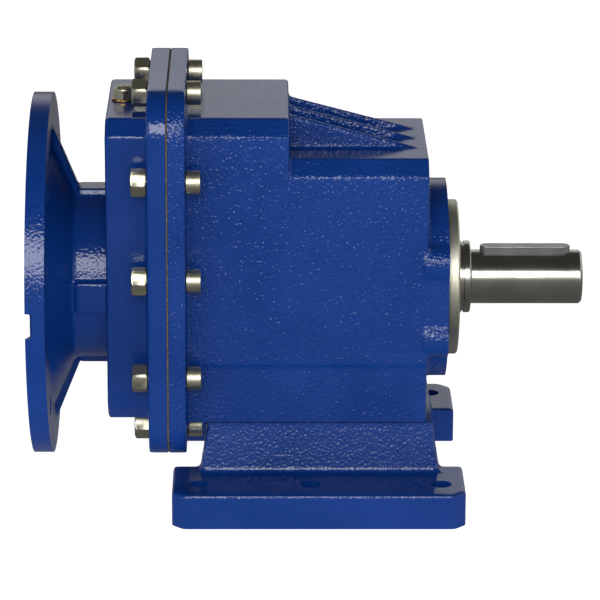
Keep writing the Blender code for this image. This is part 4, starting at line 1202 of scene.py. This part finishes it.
def bearing(name, bore_r, axis_z, inner_body):
    low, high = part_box(f"{name}_outer_ring")
    outer_r = (high.y - low.y) / 2
    x0, x1 = low.x, high.x
    middle = (x0 + x1) / 2
    ball_r = 0.28 * (outer_r - bore_r)
    track_r = (bore_r + outer_r) / 2
    shoulder, play = 0.5 * ball_r, 0.12 * MM

    def race(plain_r, land_r, groove_r):
        half = 0.84 * ball_r
        groove = []
        for i in range(9):
            t = -1 + i / 4
            rise = math.sqrt(max(0.0, 1 - (t * 0.96) ** 2))
            groove.append((middle - half * t, land_r + (groove_r - land_r) * rise))
        profile = [(x0, plain_r), (x1, plain_r), (x1, land_r), *groove, (x0, land_r)]
        return turned(profile, 0, axis_z, FINE, 0.3 * MM)

    def show_steel(obj, piece, body, node):
        show(obj, f"{name}_{piece}", body, "bearing_steel", [f"{name}_{node}"])

    outer = race(outer_r, track_r + shoulder, track_r + ball_r + play)
    show_steel(outer, "outer_race", CASING, "outer_ring")
    inner = race(bore_r + 0.05 * MM, track_r - shoulder, track_r - ball_r - play)
    show_steel(inner, "inner_race", inner_body, "inner_ring")

    thin = 0.22 * ball_r
    a, b = middle - 1.2 * ball_r, middle + 1.2 * ball_r
    r0, r1 = track_r - thin, track_r + thin
    cage = turned([(a, r0), (a, r1), (b, r1), (b, r0)], 0, axis_z)
    balls = []
    for y, z in on_circle(track_r, BALL_COUNT, 0, axis_z):
        shape = bmesh.new()
        at = Matrix.Translation((middle, y, z))
        bmesh.ops.create_uvsphere(shape, u_segments=24, v_segments=14, radius=ball_r, matrix=at)
        balls.append(from_bmesh(shape))
    show_steel(joined(cage, *balls), "ball_set", CASING, "balls")


def circlip():
    """The CAD ring keeps its shape and takes a better skin."""
    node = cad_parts["gear_circlip"]
    node.data.materials.clear()
    node.data.materials.append(MATERIALS["gear_steel"])


# --- studio
FLOOR_GLOW = 0.95
# (height, brightness), from straight down (-1) to straight up (1)
SKY = ((-1.0, 0.12), (-0.55, 0.15), (-0.20, 0.20), (0.08, 0.24))
SKY += ((0.20, 0.78), (0.38, 0.78), (0.52, 0.3), (0.64, 0.05))


def floor():
    """A white lit table. Gloss reflects the studio's dim lower half in its place."""
    shape = bmesh.new()
    bmesh.ops.create_grid(shape, x_segments=1, y_segments=1, size=5.0)
    plane = from_bmesh(shape, "floor")
    plane.location.z = -0.3 * MM
    plane.visible_glossy = False
    material, shader = new_material("table", grey(0.5), 0.8)
    shader.inputs["Specular IOR Level"].default_value = 0.0
    shader.inputs["Emission Color"].default_value = (1, 1, 1, 1)
    shader.inputs["Emission Strength"].default_value = FLOOR_GLOW
    plane.data.materials.append(material)


def panel(name, place, size, power):
    """A soft rectangular light, aimed at the unit."""
    data = bpy.data.lights.new(name, "AREA")
    data.shape = "RECTANGLE"
    data.size, data.size_y = size
    data.energy = power
    obj = bpy.data.objects.new(name, data)
    bpy.context.scene.collection.objects.link(obj)
    obj.location = place
    aim = Vector((0, 0, 0.1)) - Vector(place)
    obj.rotation_euler = aim.to_track_quat("-Z", "Y").to_euler()


def sky():
    """A bright band above the horizon, dark overhead and dim below."""
    world = bpy.data.worlds.new("studio")
    bpy.context.scene.world = world
    world.use_nodes = True
    nodes, links = world.node_tree.nodes, world.node_tree.links
    where = nodes.new("ShaderNodeTexCoord")
    split = nodes.new("ShaderNodeSeparateXYZ")
    half = nodes.new("ShaderNodeMapRange")
    half.inputs["From Min"].default_value = -1.0
    band = nodes.new("ShaderNodeValToRGB")
    links.new(where.outputs["Generated"], split.inputs["Vector"])
    links.new(split.outputs["Z"], half.inputs["Value"])
    links.new(half.outputs["Result"], band.inputs["Fac"])
    links.new(band.outputs["Color"], nodes["Background"].inputs["Color"])
    while len(band.color_ramp.elements) < len(SKY):
        band.color_ramp.elements.new(0.5)
    for element, (height, value) in zip(band.color_ramp.elements, SKY):
        element.position = (height + 1) / 2
        element.color = (*grey(value), 1)


def camera():
    """A long lens, a little above the side of the unit."""
    pitch, yaw, roll = math.radians(17.45), math.radians(0.65), math.radians(0.23)
    distance = 2.062
    aim = Vector((-4.6 * MM, 0, OUTPUT_Z - 13.85 * MM))
    level = math.cos(pitch)
    forward = Vector((math.sin(yaw) * level, math.cos(yaw) * level, -math.sin(pitch)))
    right = Vector((math.cos(yaw), -math.sin(yaw), 0))
    up = right.cross(forward)
    across = right * math.cos(roll) + up * math.sin(roll)
    upward = up * math.cos(roll) - right * math.sin(roll)
    data = bpy.data.cameras.new("camera")
    data.lens = 222.0
    data.sensor_width = 36.0
    data.clip_end = 50
    obj = bpy.data.objects.new("camera", data)
    bpy.context.scene.collection.objects.link(obj)
    turned_to = Matrix((across, upward, -forward)).transposed().to_4x4()
    obj.matrix_world = Matrix.Translation(aim - forward * distance) @ turned_to
    bpy.context.scene.camera = obj


def studio():
    floor()
    sky()
    panel("front_panel", (-0.25, -2.6, 1.42), (1.3, 1.15), 38)
    panel("left_panel", (-2.1, -1.8, 0.55), (1.3, 1.0), 8)
    panel("right_panel", (2.1, -1.8, 0.55), (1.3, 1.0), 5)
    bpy.context.scene.view_settings.view_transform = "Standard"
    camera()


make_materials()
housing()
input_cover()
cover_gasket()
input_flange()
foot()
fasteners()
breather()
output_shaft()
output_key()
lip_seal("output_lip_seal", "output_seal", OUTPUT_SEAL, 20 * MM, OUTPUT_Z, 1)
lip_seal("input_lip_seal", "input_seal", INPUT_SEAL, 17 * MM, INPUT_Z, -1)
gear_train()
for bearing_name, sizes in BEARINGS.items():
    bearing(bearing_name, *sizes)
circlip()
studio()
